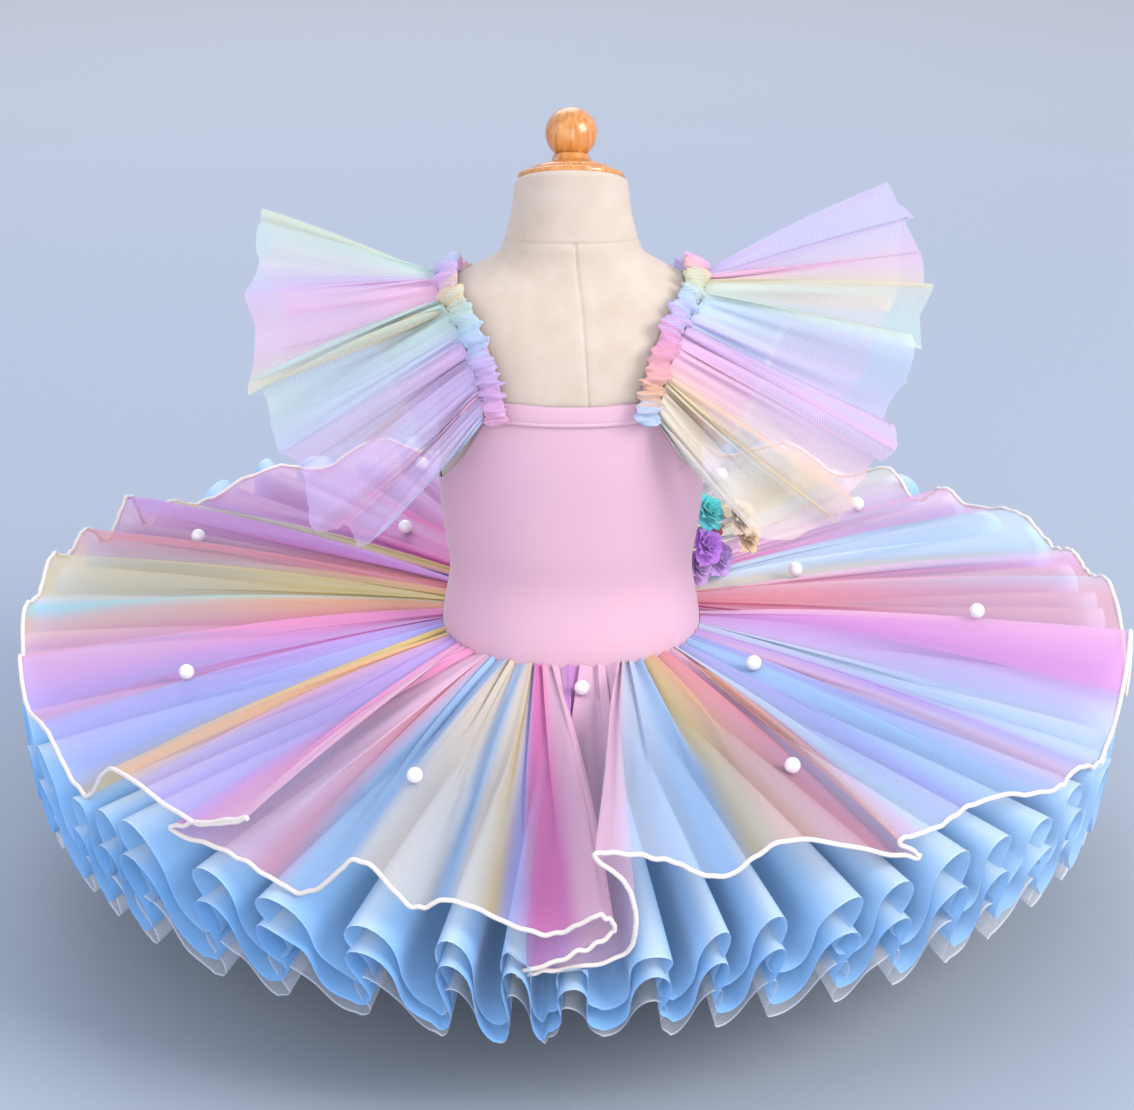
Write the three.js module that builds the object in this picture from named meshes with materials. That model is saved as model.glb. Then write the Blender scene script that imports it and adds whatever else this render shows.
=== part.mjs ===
// A child's figure skating dress on a limbless dress form.
// Millimetres, +Z up. The wearer faces +Y, so the back of the dress faces -Y and the wearer's
// right side is +X. The origin is the middle of the stand foot's underside.
import * as THREE from "three";

// ---------------------------------------------------------------- driving sizes
const DEGREE = Math.PI / 180;
const SEAM_GAP = 0.3;

// The dress form: one row for each ring, from the base up. Each ring is a rounded oval about middleY;
// tip is how far the ring leans forward, in degrees.
const FORM_SQUARENESS = 2.2;
const FORM_COLUMNS = 36;
const FORM_RINGS = [
  { height: 92, halfWidth: 62, halfDepth: 54, middleY: -3, tip: 0 },
  { height: 98, halfWidth: 73, halfDepth: 63, middleY: -3, tip: 0 },
  { height: 118, halfWidth: 83, halfDepth: 70, middleY: -4, tip: 0 },
  { height: 155, halfWidth: 89, halfDepth: 75.5, middleY: -4, tip: 0 },
  { height: 200, halfWidth: 90, halfDepth: 75.5, middleY: -3.5, tip: 0 },
  { height: 242, halfWidth: 84, halfDepth: 70, middleY: 0, tip: 0 },
  { height: 275, halfWidth: 88.5, halfDepth: 74, middleY: 2.5, tip: 0 },
  { height: 305, halfWidth: 91.5, halfDepth: 77, middleY: 4, tip: 0 },
  { height: 345, halfWidth: 93, halfDepth: 77, middleY: 2.5, tip: 0 },
  { height: 385, halfWidth: 93, halfDepth: 72, middleY: 0, tip: 0 },
  { height: 420, halfWidth: 92, halfDepth: 62, middleY: -2, tip: 0 },
  { height: 440, halfWidth: 88.5, halfDepth: 52, middleY: -1.5, tip: 0 },
  { height: 451, halfWidth: 83, halfDepth: 45, middleY: 0, tip: 0 },
  { height: 461, halfWidth: 66, halfDepth: 40, middleY: 3, tip: 2 },
  { height: 470, halfWidth: 51, halfDepth: 39, middleY: 5, tip: 6 },
  { height: 485, halfWidth: 45, halfDepth: 39, middleY: 7, tip: 12 },
  { height: 502, halfWidth: 41, halfDepth: 38, middleY: 8.5, tip: 19 },
  { height: 520, halfWidth: 39, halfDepth: 37.5, middleY: 10, tip: 25 },
];

const CAP = { radius: 37, rimHeight: 4, domeHeight: 13, collarRadius: 9, sides: 28 };
const BALL = { radius: 18, heightOnAxis: 33, sides: 20, rings: 10 };
const POST = { radius: 13, sides: 28 };
const FOOT = { radius: 92, height: 14, edge: 4, sides: 40 };

// The bodice is cut in a back and a front that meet at side seams. Its upper edge is given by the angle
// from the panel's middle: straight across the neckline, then down the armhole.
const BODICE = { wall: 1.2, clearance: 1.3, hemHeight: 178, columns: 18, rows: 6 };
const BODICE_EDGE = [
  { angle: 0, back: 384, front: 390 },
  { angle: 30, back: 384, front: 390 },
  { angle: 37, back: 370, front: 374 },
  { angle: 50, back: 342, front: 344 },
  { angle: 70, back: 317, front: 318 },
  { angle: 90, back: 307, front: 307 },
];
const NECK_BAND = { halfAngle: 30, depth: 14, wall: 1, steps: 6 };

// The strap runs from the back neckline over the shoulder to the front neckline: one row for each
// station. lift is how far its underside stands off the form, more where it crosses the neck band.
const STRAP = { width: 11, wall: 1.2 };
const STRAP_PATH = [
  { angle: 29, height: 371, lift: 4.0 },
  { angle: 30.5, height: 386, lift: 4.0 },
  { angle: 34, height: 401, lift: 1.6 },
  { angle: 41, height: 422, lift: 1.2 },
  { angle: 54, height: 440, lift: 1.2 },
  { angle: 72, height: 449, lift: 1.5 },
  { angle: 90, height: 452, lift: 1.5 },
  { angle: 108, height: 449, lift: 1.5 },
  { angle: 126, height: 440, lift: 1.2 },
  { angle: 139, height: 422, lift: 1.2 },
  { angle: 146, height: 403, lift: 1.6 },
  { angle: 149.5, height: 391, lift: 4.0 },
  { angle: 151, height: 377, lift: 4.0 },
];
// The gathered heading of the sleeve is a puckered roll that covers the strap.
const HEADING = { halfWidth: 6, halfHeight: 4.2, pucker: 0.8, stations: 36, sides: 7 };

// A flutter sleeve is a gathered strip that stands off the heading. One row for each fold: along is
// the place on the strap (0 at the back neckline, 1 at the front), x, y and z are the free edge
// of the wearer's left sleeve, and ridge is how far the fold stands out (-) or in (+) there.
const SLEEVE = { wall: 1, spans: 3 };
const SLEEVE_FOLDS_LEFT = [
  { along: 0.02, x: -133, y: -74, z: 291, ridge: 0 },
  { along: 0.07, x: -147, y: -70, z: 280, ridge: -5 },
  { along: 0.12, x: -163, y: -54, z: 290, ridge: 5 },
  { along: 0.17, x: -179, y: -62, z: 300, ridge: -5 },
  { along: 0.22, x: -184, y: -46, z: 326, ridge: 6 },
  { along: 0.28, x: -205, y: -50, z: 346, ridge: -6 },
  { along: 0.33, x: -208, y: -34, z: 366, ridge: 6 },
  { along: 0.38, x: -218, y: -38, z: 394, ridge: -6 },
  { along: 0.42, x: -218, y: -20, z: 416, ridge: 5 },
  { along: 0.46, x: -227, y: -16, z: 446, ridge: -5 },
  { along: 0.5, x: -217, y: 0, z: 466, ridge: 4 },
  { along: 0.54, x: -209, y: 14, z: 496, ridge: -4 },
  { along: 0.58, x: -214, y: 30, z: 472, ridge: 5 },
  { along: 0.65, x: -215, y: 54, z: 436, ridge: -6 },
  { along: 0.72, x: -206, y: 58, z: 394, ridge: 6 },
  { along: 0.79, x: -200, y: 80, z: 352, ridge: -6 },
  { along: 0.86, x: -176, y: 76, z: 318, ridge: 6 },
  { along: 0.93, x: -158, y: 90, z: 298, ridge: -4 },
  { along: 0.98, x: -136, y: 88, z: 300, ridge: 0 },
];
const SLEEVE_FOLDS_RIGHT = [
  { along: 0.02, x: 128, y: -74, z: 296, ridge: 0 },
  { along: 0.07, x: 145, y: -70, z: 285, ridge: -5 },
  { along: 0.12, x: 166, y: -54, z: 284, ridge: 5 },
  { along: 0.17, x: 190, y: -62, z: 306, ridge: -5 },
  { along: 0.22, x: 206, y: -48, z: 326, ridge: 6 },
  { along: 0.28, x: 218, y: -52, z: 346, ridge: -6 },
  { along: 0.33, x: 226, y: -36, z: 376, ridge: 6 },
  { along: 0.38, x: 236, y: -38, z: 402, ridge: -6 },
  { along: 0.42, x: 238, y: -20, z: 428, ridge: 5 },
  { along: 0.46, x: 245, y: -14, z: 462, ridge: -5 },
  { along: 0.5, x: 238, y: 0, z: 484, ridge: 4 },
  { along: 0.54, x: 214, y: 14, z: 514, ridge: -4 },
  { along: 0.58, x: 226, y: 30, z: 486, ridge: 5 },
  { along: 0.65, x: 232, y: 54, z: 446, ridge: -6 },
  { along: 0.72, x: 222, y: 58, z: 402, ridge: 6 },
  { along: 0.79, x: 212, y: 80, z: 356, ridge: -6 },
  { along: 0.86, x: 184, y: 76, z: 320, ridge: 6 },
  { along: 0.93, x: 162, y: 90, z: 300, ridge: -4 },
  { along: 0.98, x: 138, y: 88, z: 302, ridge: 0 },
];
// A short tier of the same net lies under the back half of each sleeve.
const UNDER_TIER = { from: 0.06, to: 0.4, reach: 0.44, drop: 3, columns: 13, spans: 2 };
const UNDER_TIER_RIPPLE = { height: 2.5, count: 4 };

// The skirt is four gathered layers sewn to the bodice one below another.
const SKIRT = { seamHeight: 200, seamDip: 4, layerStep: 3.6, wall: 1, arch: 5 };

// The top layer's free edge: one row for each fold, going round from the centre front by the wearer's
// left. A fold climbs to its crest and falls to its trough. Angles are measured from the centre back,
// + to the wearer's right, droop is degrees below level and reach is the length from the seam. Where
// a trough turns back past its own crest, the fold laps over itself. The deep fold at the centre back
// doubles under and up again, so it takes five rows.
const TOP_SUBSTEPS = 2;
const TOP_SPANS = 3;
const TOP_FOLDS = [
  { crest: -172, crestDroop: -1.0, trough: -164, troughDroop: 2.5, reach: 290 },
  { crest: -156, crestDroop: -1.0, trough: -149, troughDroop: 2.2, reach: 290 },
  { crest: -142, crestDroop: 0.3, trough: -131, troughDroop: 2.4, reach: 292 },
  { crest: -126, crestDroop: 0.2, trough: -121.8, troughDroop: 2.4, reach: 292 },
  { crest: -118.5, crestDroop: -3.9, trough: -114, troughDroop: 0.8, reach: 292 },
  { crest: -109, crestDroop: -3.2, trough: -104, troughDroop: -1.6, reach: 292 },
  { crest: -98.5, crestDroop: -4.5, trough: -93, troughDroop: -1.6, reach: 292 },
  { crest: -87, crestDroop: -2.8, trough: -82, troughDroop: 1.2, reach: 296 },
  { crest: -78.5, crestDroop: -0.3, trough: -73, troughDroop: 3.5, reach: 298 },
  { crest: -66, crestDroop: 3.2, trough: -56.5, troughDroop: 7.2, reach: 294 },
  { crest: -50, crestDroop: 0.2, trough: -38, troughDroop: 2.2, reach: 292 },
  { crest: -31.5, crestDroop: -0.8, trough: -41.5, troughDroop: 4.6, reach: 292 },
  { crest: -33.5, crestDroop: 5.0, trough: -25.5, troughDroop: 7.9, reach: 292 },
  { crest: -19.5, crestDroop: 1.6, trough: -14.5, troughDroop: 7.2, reach: 292 },
  { crest: -10.5, crestDroop: 6.0, trough: -2.4, troughDroop: 10.4, reach: 290 },
  { crest: 2.2, crestDroop: 6.9, trough: 3.4, troughDroop: 9.6, reach: 294 },
  { crest: -0.8, crestDroop: 12.6, trough: -4.2, troughDroop: 15.0, reach: 300 },
  { crest: 4.0, crestDroop: 13.2, trough: 5.6, troughDroop: 8.4, reach: 296 },
  { crest: 4.8, crestDroop: 3.0, trough: 2.0, troughDroop: -1.4, reach: 292 },
  { crest: 8.0, crestDroop: -0.4, trough: 13.6, troughDroop: 2.7, reach: 292 },
  { crest: 20.5, crestDroop: -1.0, trough: 34.2, troughDroop: 5.8, reach: 292 },
  { crest: 32, crestDroop: 2.6, trough: 36.4, troughDroop: 2.4, reach: 292 },
  { crest: 43, crestDroop: 0.9, trough: 55.8, troughDroop: 5.9, reach: 294 },
  { crest: 59.5, crestDroop: 4.6, trough: 71, troughDroop: 9.0, reach: 298 },
  { crest: 82.5, crestDroop: -2.2, trough: 80.2, troughDroop: 5.8, reach: 303 },
  { crest: 94, crestDroop: -1.8, trough: 101.8, troughDroop: 0.4, reach: 300 },
  { crest: 105, crestDroop: -1.6, trough: 110, troughDroop: 0.2, reach: 294 },
  { crest: 117, crestDroop: -1.8, trough: 126, troughDroop: 0.9, reach: 292 },
  { crest: 130.5, crestDroop: -0.3, trough: 134.8, troughDroop: 3.2, reach: 290 },
  { crest: 139, crestDroop: -0.6, trough: 146, troughDroop: 2.6, reach: 290 },
  { crest: 153, crestDroop: -1.0, trough: 161, troughDroop: 2.4, reach: 290 },
  { crest: 168, crestDroop: -1.0, trough: 176, troughDroop: 1.8, reach: 290 },
];

// Each lower layer hangs in even folds about its own mean droop, in degrees below level.
const LOWER_DROOPS = [
  { angle: -180, skirt_blue_upper: 5.6, skirt_blue_lower: 9.5, skirt_net: 13 },
  { angle: -150, skirt_blue_upper: 5.4, skirt_blue_lower: 9.2, skirt_net: 12.6 },
  { angle: -122, skirt_blue_upper: 5.4, skirt_blue_lower: 9.2, skirt_net: 12.6 },
  { angle: -96, skirt_blue_upper: 4.6, skirt_blue_lower: 10.5, skirt_net: 14.4 },
  { angle: -80, skirt_blue_upper: 7.0, skirt_blue_lower: 13.6, skirt_net: 17.2 },
  { angle: -62, skirt_blue_upper: 10.6, skirt_blue_lower: 16.4, skirt_net: 20 },
  { angle: -42, skirt_blue_upper: 10.0, skirt_blue_lower: 16.0, skirt_net: 20 },
  { angle: -22, skirt_blue_upper: 11.6, skirt_blue_lower: 16.6, skirt_net: 20.4 },
  { angle: -3, skirt_blue_upper: 17.4, skirt_blue_lower: 20.2, skirt_net: 23 },
  { angle: 16, skirt_blue_upper: 11.0, skirt_blue_lower: 16.6, skirt_net: 20.6 },
  { angle: 35, skirt_blue_upper: 9.8, skirt_blue_lower: 16.0, skirt_net: 20 },
  { angle: 54, skirt_blue_upper: 10.0, skirt_blue_lower: 15.6, skirt_net: 19.4 },
  { angle: 72, skirt_blue_upper: 12.4, skirt_blue_lower: 16.2, skirt_net: 19.6 },
  { angle: 90, skirt_blue_upper: 7.6, skirt_blue_lower: 12.6, skirt_net: 16.2 },
  { angle: 112, skirt_blue_upper: 4.2, skirt_blue_lower: 8.8, skirt_net: 12.4 },
  { angle: 136, skirt_blue_upper: 6.2, skirt_blue_lower: 9.8, skirt_net: 13.2 },
  { angle: 158, skirt_blue_upper: 5.4, skirt_blue_lower: 9.2, skirt_net: 12.8 },
];
const LOWER_LAYERS = [
  { name: "skirt_blue_upper", sideReach: 300, backReach: 308, folds: 36, ripple: 1.1, color: 0xa9cdf2 },
  { name: "skirt_blue_lower", sideReach: 304, backReach: 313, folds: 32, ripple: 1.1, color: 0x8fbcee },
  { name: "skirt_net", sideReach: 302, backReach: 310, folds: 20, ripple: 0.9, color: 0xdfe4ee },
];
const LOWER_SUBSTEPS = 3;
const LOWER_SPANS = 2;

const HEM_CORD = { radius: 1.6, sides: 5 };

// Beads are sewn to the top layer: the angle each lies at, and how far out (0 to 1). A bead sits on the
// highest step of the layer within the search angle.
const PEARL_RADIUS = 5.4;
const PEARL_SEARCH = 2.2;
const PEARLS = [
  { angle: -171, out: 0.42 },
  { angle: -155, out: 0.7 },
  { angle: -136, out: 0.35 },
  { angle: -113, out: 0.71 },
  { angle: -70, out: 0.66 },
  { angle: -19, out: 0.68 },
  { angle: 5, out: 0.12 },
  { angle: 32, out: 0.67 },
  { angle: 51, out: 0.23 },
  { angle: 82, out: 0.64 },
  { angle: 107, out: 0.29 },
  { angle: 127, out: 0.68 },
  { angle: 153, out: 0.63 },
  { angle: 172, out: 0.3 },
];

// Silk flowers on stems make a spray at the front of the wearer's right hip: the head's middle, and
// where the stem is sewn to the bodice.
const FLOWER = { petals: 5, radius: 10.5, thickness: 3, stemRadius: 1.4, columnsPerPetal: 3 };
const FLOWERS = [
  { name: "flower_teal", x: 101, y: 42, z: 264, angle: 122, height: 250, color: 0x35c3c9 },
  { name: "flower_purple", x: 100, y: 28, z: 243, angle: 116, height: 236, color: 0xb66ce8 },
  { name: "flower_lilac", x: 94, y: 34, z: 223, angle: 118, height: 222, color: 0xcd96ee },
  { name: "flower_violet", x: 110, y: 49, z: 225, angle: 127, height: 219, color: 0xb98af0 },
  { name: "flower_peach", x: 125, y: 45, z: 259, angle: 119, height: 246, color: 0xfbd2ae },
  { name: "flower_apricot", x: 131, y: 57, z: 240, angle: 128, height: 232, color: 0xf9c39a },
  { name: "flower_coral", x: 105, y: 66, z: 250, angle: 133, height: 240, color: 0xf58a6c },
];

// ---------------------------------------------------------------- cloth and paint colours
function finish(color, roughness = 0.8, metalness = 0) {
  return new THREE.MeshStandardMaterial({ color, roughness, metalness, side: THREE.DoubleSide });
}
const LINEN = finish(0xe6d6c4, 0.9);
const WOOD = finish(0xc98a4b, 0.35);
const PINK_KNIT = finish(0xf0cfe0, 0.6);
const RAINBOW_NET = finish(0xe9b4dc, 0.8);
const CREAM_CORD = finish(0xf6efe6, 0.45);
const PEARL_GLOSS = finish(0xfaf5f0, 0.2);

const dress = new THREE.Group();
dress.name = "figure_skating_dress_on_form";

// ---------------------------------------------------------------- shared helpers
function addPiece(name, geometry, material) {
  const piece = new THREE.Mesh(geometry, material);
  piece.name = name;
  dress.add(piece);
  return piece;
}

// A smooth curve through equally spaced values: the value at t (0 to 1) between b and c.
function smoothStep4(a, b, c, d, t) {
  const rise = (c - a) / 2;
  const fall = (d - b) / 2;
  return b + t * (rise + t * (3 * (c - b) - 2 * rise - fall + t * (rise + fall - 2 * (c - b))));
}

// Reads a table at a key value: every column is interpolated along the rows' key column.
function readTable(rows, key, value) {
  const last = rows.length - 1;
  let i = 0;
  while (i < last - 1 && rows[i + 1][key] <= value) i += 1;
  const span = rows[i + 1][key] - rows[i][key];
  const t = THREE.MathUtils.clamp((value - rows[i][key]) / span, 0, 1);
  const found = {};
  for (const column of Object.keys(rows[i])) {
    if (typeof rows[i][column] !== "number") continue;
    const slope = (p, q) => (rows[q][column] - rows[p][column]) / (rows[q][key] - rows[p][key]);
    const low = Math.max(i - 1, 0);
    const high = Math.min(i + 2, last);
    const start = slope(low, i + 1) * span;
    const end = slope(i, high) * span;
    const rise = rows[i + 1][column] - rows[i][column];
    const bend = 3 * rise - 2 * start - end;
    found[column] = rows[i][column] + t * (start + t * (bend + t * (start + end - 2 * rise)));
  }
  return found;
}

// A closed wall of even thickness about a grid of points. closed joins the last column to the first.
function wallGeometry(columns, rows, pointAt, thickness, closed) {
  const middle = [];
  for (let i = 0; i < columns; i += 1) {
    middle.push([]);
    for (let j = 0; j < rows; j += 1) middle[i].push(pointAt(i, j));
  }
  const column = (i) => middle[closed ? (i + columns) % columns : THREE.MathUtils.clamp(i, 0, columns - 1)];
  const positions = [];
  for (const side of [0.5, -0.5]) {
    for (let i = 0; i < columns; i += 1) {
      for (let j = 0; j < rows; j += 1) {
        const around = column(i + 1)[j].clone().sub(column(i - 1)[j]).normalize();
        const along = column(i)[Math.min(j + 1, rows - 1)].clone().sub(column(i)[Math.max(j - 1, 0)]);
        const normal = around.cross(along.normalize()).normalize();
        positions.push(...middle[i][j].clone().addScaledVector(normal, side * thickness));
      }
    }
  }
  const at = (face, i, j) => face * columns * rows + ((i + columns) % columns) * rows + j;
  const index = [];
  const quad = (a, b, c, d) => index.push(a, b, c, a, c, d);
  const spans = closed ? columns : columns - 1;
  for (let i = 0; i < spans; i += 1) {
    for (let j = 0; j < rows - 1; j += 1) {
      quad(at(0, i, j), at(0, i + 1, j), at(0, i + 1, j + 1), at(0, i, j + 1));
      quad(at(1, i, j), at(1, i, j + 1), at(1, i + 1, j + 1), at(1, i + 1, j));
    }
    quad(at(0, i, 0), at(1, i, 0), at(1, i + 1, 0), at(0, i + 1, 0));
    quad(at(0, i, rows - 1), at(0, i + 1, rows - 1), at(1, i + 1, rows - 1), at(1, i, rows - 1));
  }
  if (!closed) {
    for (let j = 0; j < rows - 1; j += 1) {
      quad(at(0, 0, j), at(0, 0, j + 1), at(1, 0, j + 1), at(1, 0, j));
      const end = columns - 1;
      quad(at(0, end, j), at(1, end, j), at(1, end, j + 1), at(0, end, j + 1));
    }
  }
  return outwardGeometry(positions, index);
}

// A closed tube of stacked rings; each end is closed by a fan about the middle of its ring.
function ringGeometry(rings, closedLoop) {
  const sides = rings[0].length;
  const positions = rings.flatMap((ring) => ring.flatMap((point) => [...point]));
  const index = [];
  const at = (i, j) => (i % rings.length) * sides + (j % sides);
  const spans = closedLoop ? rings.length : rings.length - 1;
  for (let i = 0; i < spans; i += 1) {
    for (let j = 0; j < sides; j += 1) {
      index.push(at(i, j), at(i + 1, j), at(i + 1, j + 1), at(i, j), at(i + 1, j + 1), at(i, j + 1));
    }
  }
  if (!closedLoop) {
    for (const [i, turn] of [[0, 1], [rings.length - 1, -1]]) {
      const centre = new THREE.Vector3();
      for (const point of rings[i]) centre.addScaledVector(point, 1 / sides);
      const hub = positions.length / 3;
      positions.push(...centre);
      for (let j = 0; j < sides; j += 1) {
        if (turn > 0) index.push(hub, at(i, j), at(i, j + 1));
        else index.push(hub, at(i, j + 1), at(i, j));
      }
    }
  }
  return outwardGeometry(positions, index);
}

// Builds the geometry and turns every face round if the body encloses a negative volume.
function outwardGeometry(positions, index) {
  const point = (k) => new THREE.Vector3().fromArray(positions, 3 * k);
  let volume = 0;
  for (let k = 0; k < index.length; k += 3) {
    volume += point(index[k]).dot(point(index[k + 1]).cross(point(index[k + 2])));
  }
  if (volume < 0) index.reverse();
  const geometry = new THREE.BufferGeometry();
  geometry.setAttribute("position", new THREE.Float32BufferAttribute(positions, 3));
  geometry.setIndex(index);
  geometry.computeVertexNormals();
  return geometry;
}

// Profile radii and heights turned about the Z axis.
function turnedGeometry(profile, sides) {
  const lathe = new THREE.LatheGeometry(profile.map(([r, z]) => new THREE.Vector2(r, z)), sides);
  return lathe.rotateX(Math.PI / 2);
}

// ---------------------------------------------------------------- the dress form
const roundedPower = (value) => Math.sign(value) * Math.abs(value) ** (2 / FORM_SQUARENESS);

// A point on the form's surface; angle in degrees from the centre back, + to the wearer's right.
function formPoint(angle, height) {
  const ring = readTable(FORM_RINGS, "height", height);
  const x = ring.halfWidth * roundedPower(Math.sin(angle * DEGREE));
  const y = -ring.halfDepth * roundedPower(Math.cos(angle * DEGREE));
  return new THREE.Vector3(x, ring.middleY + y, height - y * Math.tan(ring.tip * DEGREE));
}

function formNormal(angle, height) {
  const around = formPoint(angle + 1, height).sub(formPoint(angle - 1, height));
  const up = formPoint(angle, height + 1).sub(formPoint(angle, height - 1));
  return around.cross(up).normalize();
}

function offForm(angle, height, distance) {
  return formPoint(angle, height).addScaledVector(formNormal(angle, height), distance);
}

function buildForm() {
  const heights = [];
  FORM_RINGS.forEach((ring, i) => {
    heights.push(ring.height);
    const next = FORM_RINGS[i + 1];
    if (next && next.height - ring.height > 25) heights.push((ring.height + next.height) / 2);
  });
  const rings = heights.map((height) =>
    Array.from({ length: FORM_COLUMNS }, (_, i) => formPoint((360 * i) / FORM_COLUMNS, height)));
  addPiece("form_torso", ringGeometry(rings, false), LINEN);
}

// The cap and ball are turned on one axis that leans forward with the neck's top.
function buildNeckCap() {
  const neck = FORM_RINGS[FORM_RINGS.length - 1];
  const { radius, rimHeight, domeHeight, collarRadius, sides } = CAP;
  const dome = [0, 0.25, 0.5, 0.75, 1].map((t) => [
    collarRadius + (radius - 2 - collarRadius) * Math.cos((t * Math.PI) / 2),
    rimHeight + (domeHeight - rimHeight) * Math.sin((t * Math.PI) / 2),
  ]);
  const ballFoot = BALL.heightOnAxis - BALL.radius - SEAM_GAP;
  const profile = [[0, 0], [radius - 1.5, 0], [radius, 1.5], [radius, rimHeight - 1], ...dome];
  profile.push([collarRadius, ballFoot - 0.6], [collarRadius * 0.55, ballFoot - 0.6], [0, ballFoot - 0.6]);
  const leaning = new THREE.Group();
  leaning.position.set(0, neck.middleY, neck.height);
  leaning.rotation.x = -neck.tip * DEGREE;
  dress.add(leaning);
  const cap = new THREE.Mesh(turnedGeometry(profile, sides), WOOD);
  cap.name = "form_neck_cap";
  cap.position.z = SEAM_GAP;
  leaning.add(cap);
  const ball = new THREE.Mesh(new THREE.SphereGeometry(BALL.radius, BALL.sides, BALL.rings), WOOD);
  ball.name = "form_ball_finial";
  ball.rotation.x = Math.PI / 2;
  ball.position.z = BALL.heightOnAxis;
  leaning.add(ball);
}

function buildStand() {
  const { radius, height, edge, sides } = FOOT;
  const footProfile = [[0, 0], [radius - 1, 0], [radius, 1], [radius, height - edge]];
  footProfile.push([radius - edge * 0.3, height - edge * 0.3], [radius - edge, height], [0, height]);
  addPiece("stand_foot", turnedGeometry(footProfile, sides), WOOD);
  const bottom = height + SEAM_GAP;
  const top = FORM_RINGS[0].height - SEAM_GAP;
  const postProfile = [[0, bottom], [POST.radius + 5, bottom], [POST.radius + 5, bottom + 4]];
  postProfile.push([POST.radius, bottom + 9], [POST.radius, top - 8]);
  postProfile.push([POST.radius + 5, top - 4], [POST.radius + 5, top], [0, top]);
  addPiece("stand_post", turnedGeometry(postProfile, POST.sides), WOOD);
}

// ---------------------------------------------------------------- the bodice
const bodiceOuter = BODICE.clearance + BODICE.wall;

function buildBodice() {
  const seamAngle = 90 - ((SEAM_GAP / 2) / FORM_RINGS[4].halfWidth) / DEGREE;
  for (const [side, centre] of [["back", 0], ["front", 180]]) {
    const panelPoint = (i, j) => {
      const fromMiddle = seamAngle * ((2 * i) / BODICE.columns - 1);
      const top = readTable(BODICE_EDGE, "angle", Math.abs(fromMiddle))[side];
      const height = BODICE.hemHeight + ((top - BODICE.hemHeight) * j) / BODICE.rows;
      return offForm(centre + fromMiddle, height, BODICE.clearance + BODICE.wall / 2);
    };
    const panel = wallGeometry(BODICE.columns + 1, BODICE.rows + 1, panelPoint, BODICE.wall, false);
    addPiece(`bodice_${side}`, panel, PINK_KNIT);

    const bandTop = BODICE_EDGE[0][side] + 1;
    const bandPoint = (i, j) => {
      const fromMiddle = NECK_BAND.halfAngle * ((2 * i) / NECK_BAND.steps - 1);
      const height = bandTop - NECK_BAND.depth * (1 - j);
      return offForm(centre + fromMiddle, height, bodiceOuter + 0.4 + NECK_BAND.wall / 2);
    };
    const band = wallGeometry(NECK_BAND.steps + 1, 2, bandPoint, NECK_BAND.wall, false);
    addPiece(`neck_band_${side}`, band, PINK_KNIT);
  }
}

// ---------------------------------------------------------------- straps and sleeves
// The strap's frame at a place along it: a point on its underside, the direction out of the form,
// and the direction across the strap away from the neck. side is -1 for the wearer's left.
function strapFrame(along, side) {
  const rows = STRAP_PATH.map((row, i) => ({ ...row, place: i / (STRAP_PATH.length - 1) }));
  const read = (place) => readTable(rows, "place", THREE.MathUtils.clamp(place, 0, 1));
  const here = read(along);
  const point = (row) => offForm(side * row.angle, row.height, row.lift);
  const tangent = point(read(along + 0.02)).sub(point(read(along - 0.02))).normalize();
  const out = formNormal(side * here.angle, here.height);
  const across = tangent.clone().cross(out).multiplyScalar(side).normalize();
  return { point: point(here), out: across.clone().cross(tangent).multiplyScalar(side).normalize(), across };
}

function strapGeometry(side) {
  const rings = STRAP_PATH.map((_, i) => {
    const frame = strapFrame(i / (STRAP_PATH.length - 1), side);
    const corners = [[-1, 0], [1, 0], [1, 1], [-1, 1]];
    return corners.map(([w, h]) => frame.point.clone()
      .addScaledVector(frame.across, (w * STRAP.width) / 2)
      .addScaledVector(frame.out, h * STRAP.wall));
  });
  return ringGeometry(rings, false);
}

const headingCentre = STRAP.wall + SEAM_GAP + HEADING.halfHeight + HEADING.pucker;

function headingGeometry(side) {
  const rings = Array.from({ length: HEADING.stations }, (_, i) => {
    const frame = strapFrame(i / (HEADING.stations - 1), side);
    const pucker = HEADING.pucker * (i % 2 === 0 ? 1 : -1);
    return Array.from({ length: HEADING.sides }, (_unused, j) => {
      const turn = (2 * Math.PI * (j + 0.5)) / HEADING.sides;
      return frame.point.clone()
        .addScaledVector(frame.across, (HEADING.halfWidth + pucker) * Math.cos(turn))
        .addScaledVector(frame.out, headingCentre + (HEADING.halfHeight + pucker) * Math.sin(turn));
    });
  });
  return ringGeometry(rings, false);
}

function sleeveRoot(along, side, drop) {
  const frame = strapFrame(along, side);
  const shoulder = Math.sqrt(1 - (drop / (HEADING.halfHeight + HEADING.pucker)) ** 2);
  return frame.point.clone()
    .addScaledVector(frame.across, (HEADING.halfWidth + HEADING.pucker) * shoulder + 2 * SEAM_GAP)
    .addScaledVector(frame.out, headingCentre - drop);
}

function sleeveGeometry(folds, side) {
  const columns = 2 * folds.length - 1;
  const rows = folds.map((row, i) => ({ ...row, place: i }));
  const pointAt = (i, j) => {
    const fold = readTable(rows, "place", i / 2);
    const root = sleeveRoot(fold.along, side, 0);
    const free = new THREE.Vector3(fold.x, fold.y, fold.z);
    const out = j / SLEEVE.spans;
    const point = root.clone().lerp(free, out);
    const facing = strapFrame(fold.along, side).out;
    return point.addScaledVector(facing, fold.ridge * out * (1 - out) * 1.6);
  };
  return wallGeometry(columns, SLEEVE.spans + 1, pointAt, SLEEVE.wall, false);
}

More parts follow.
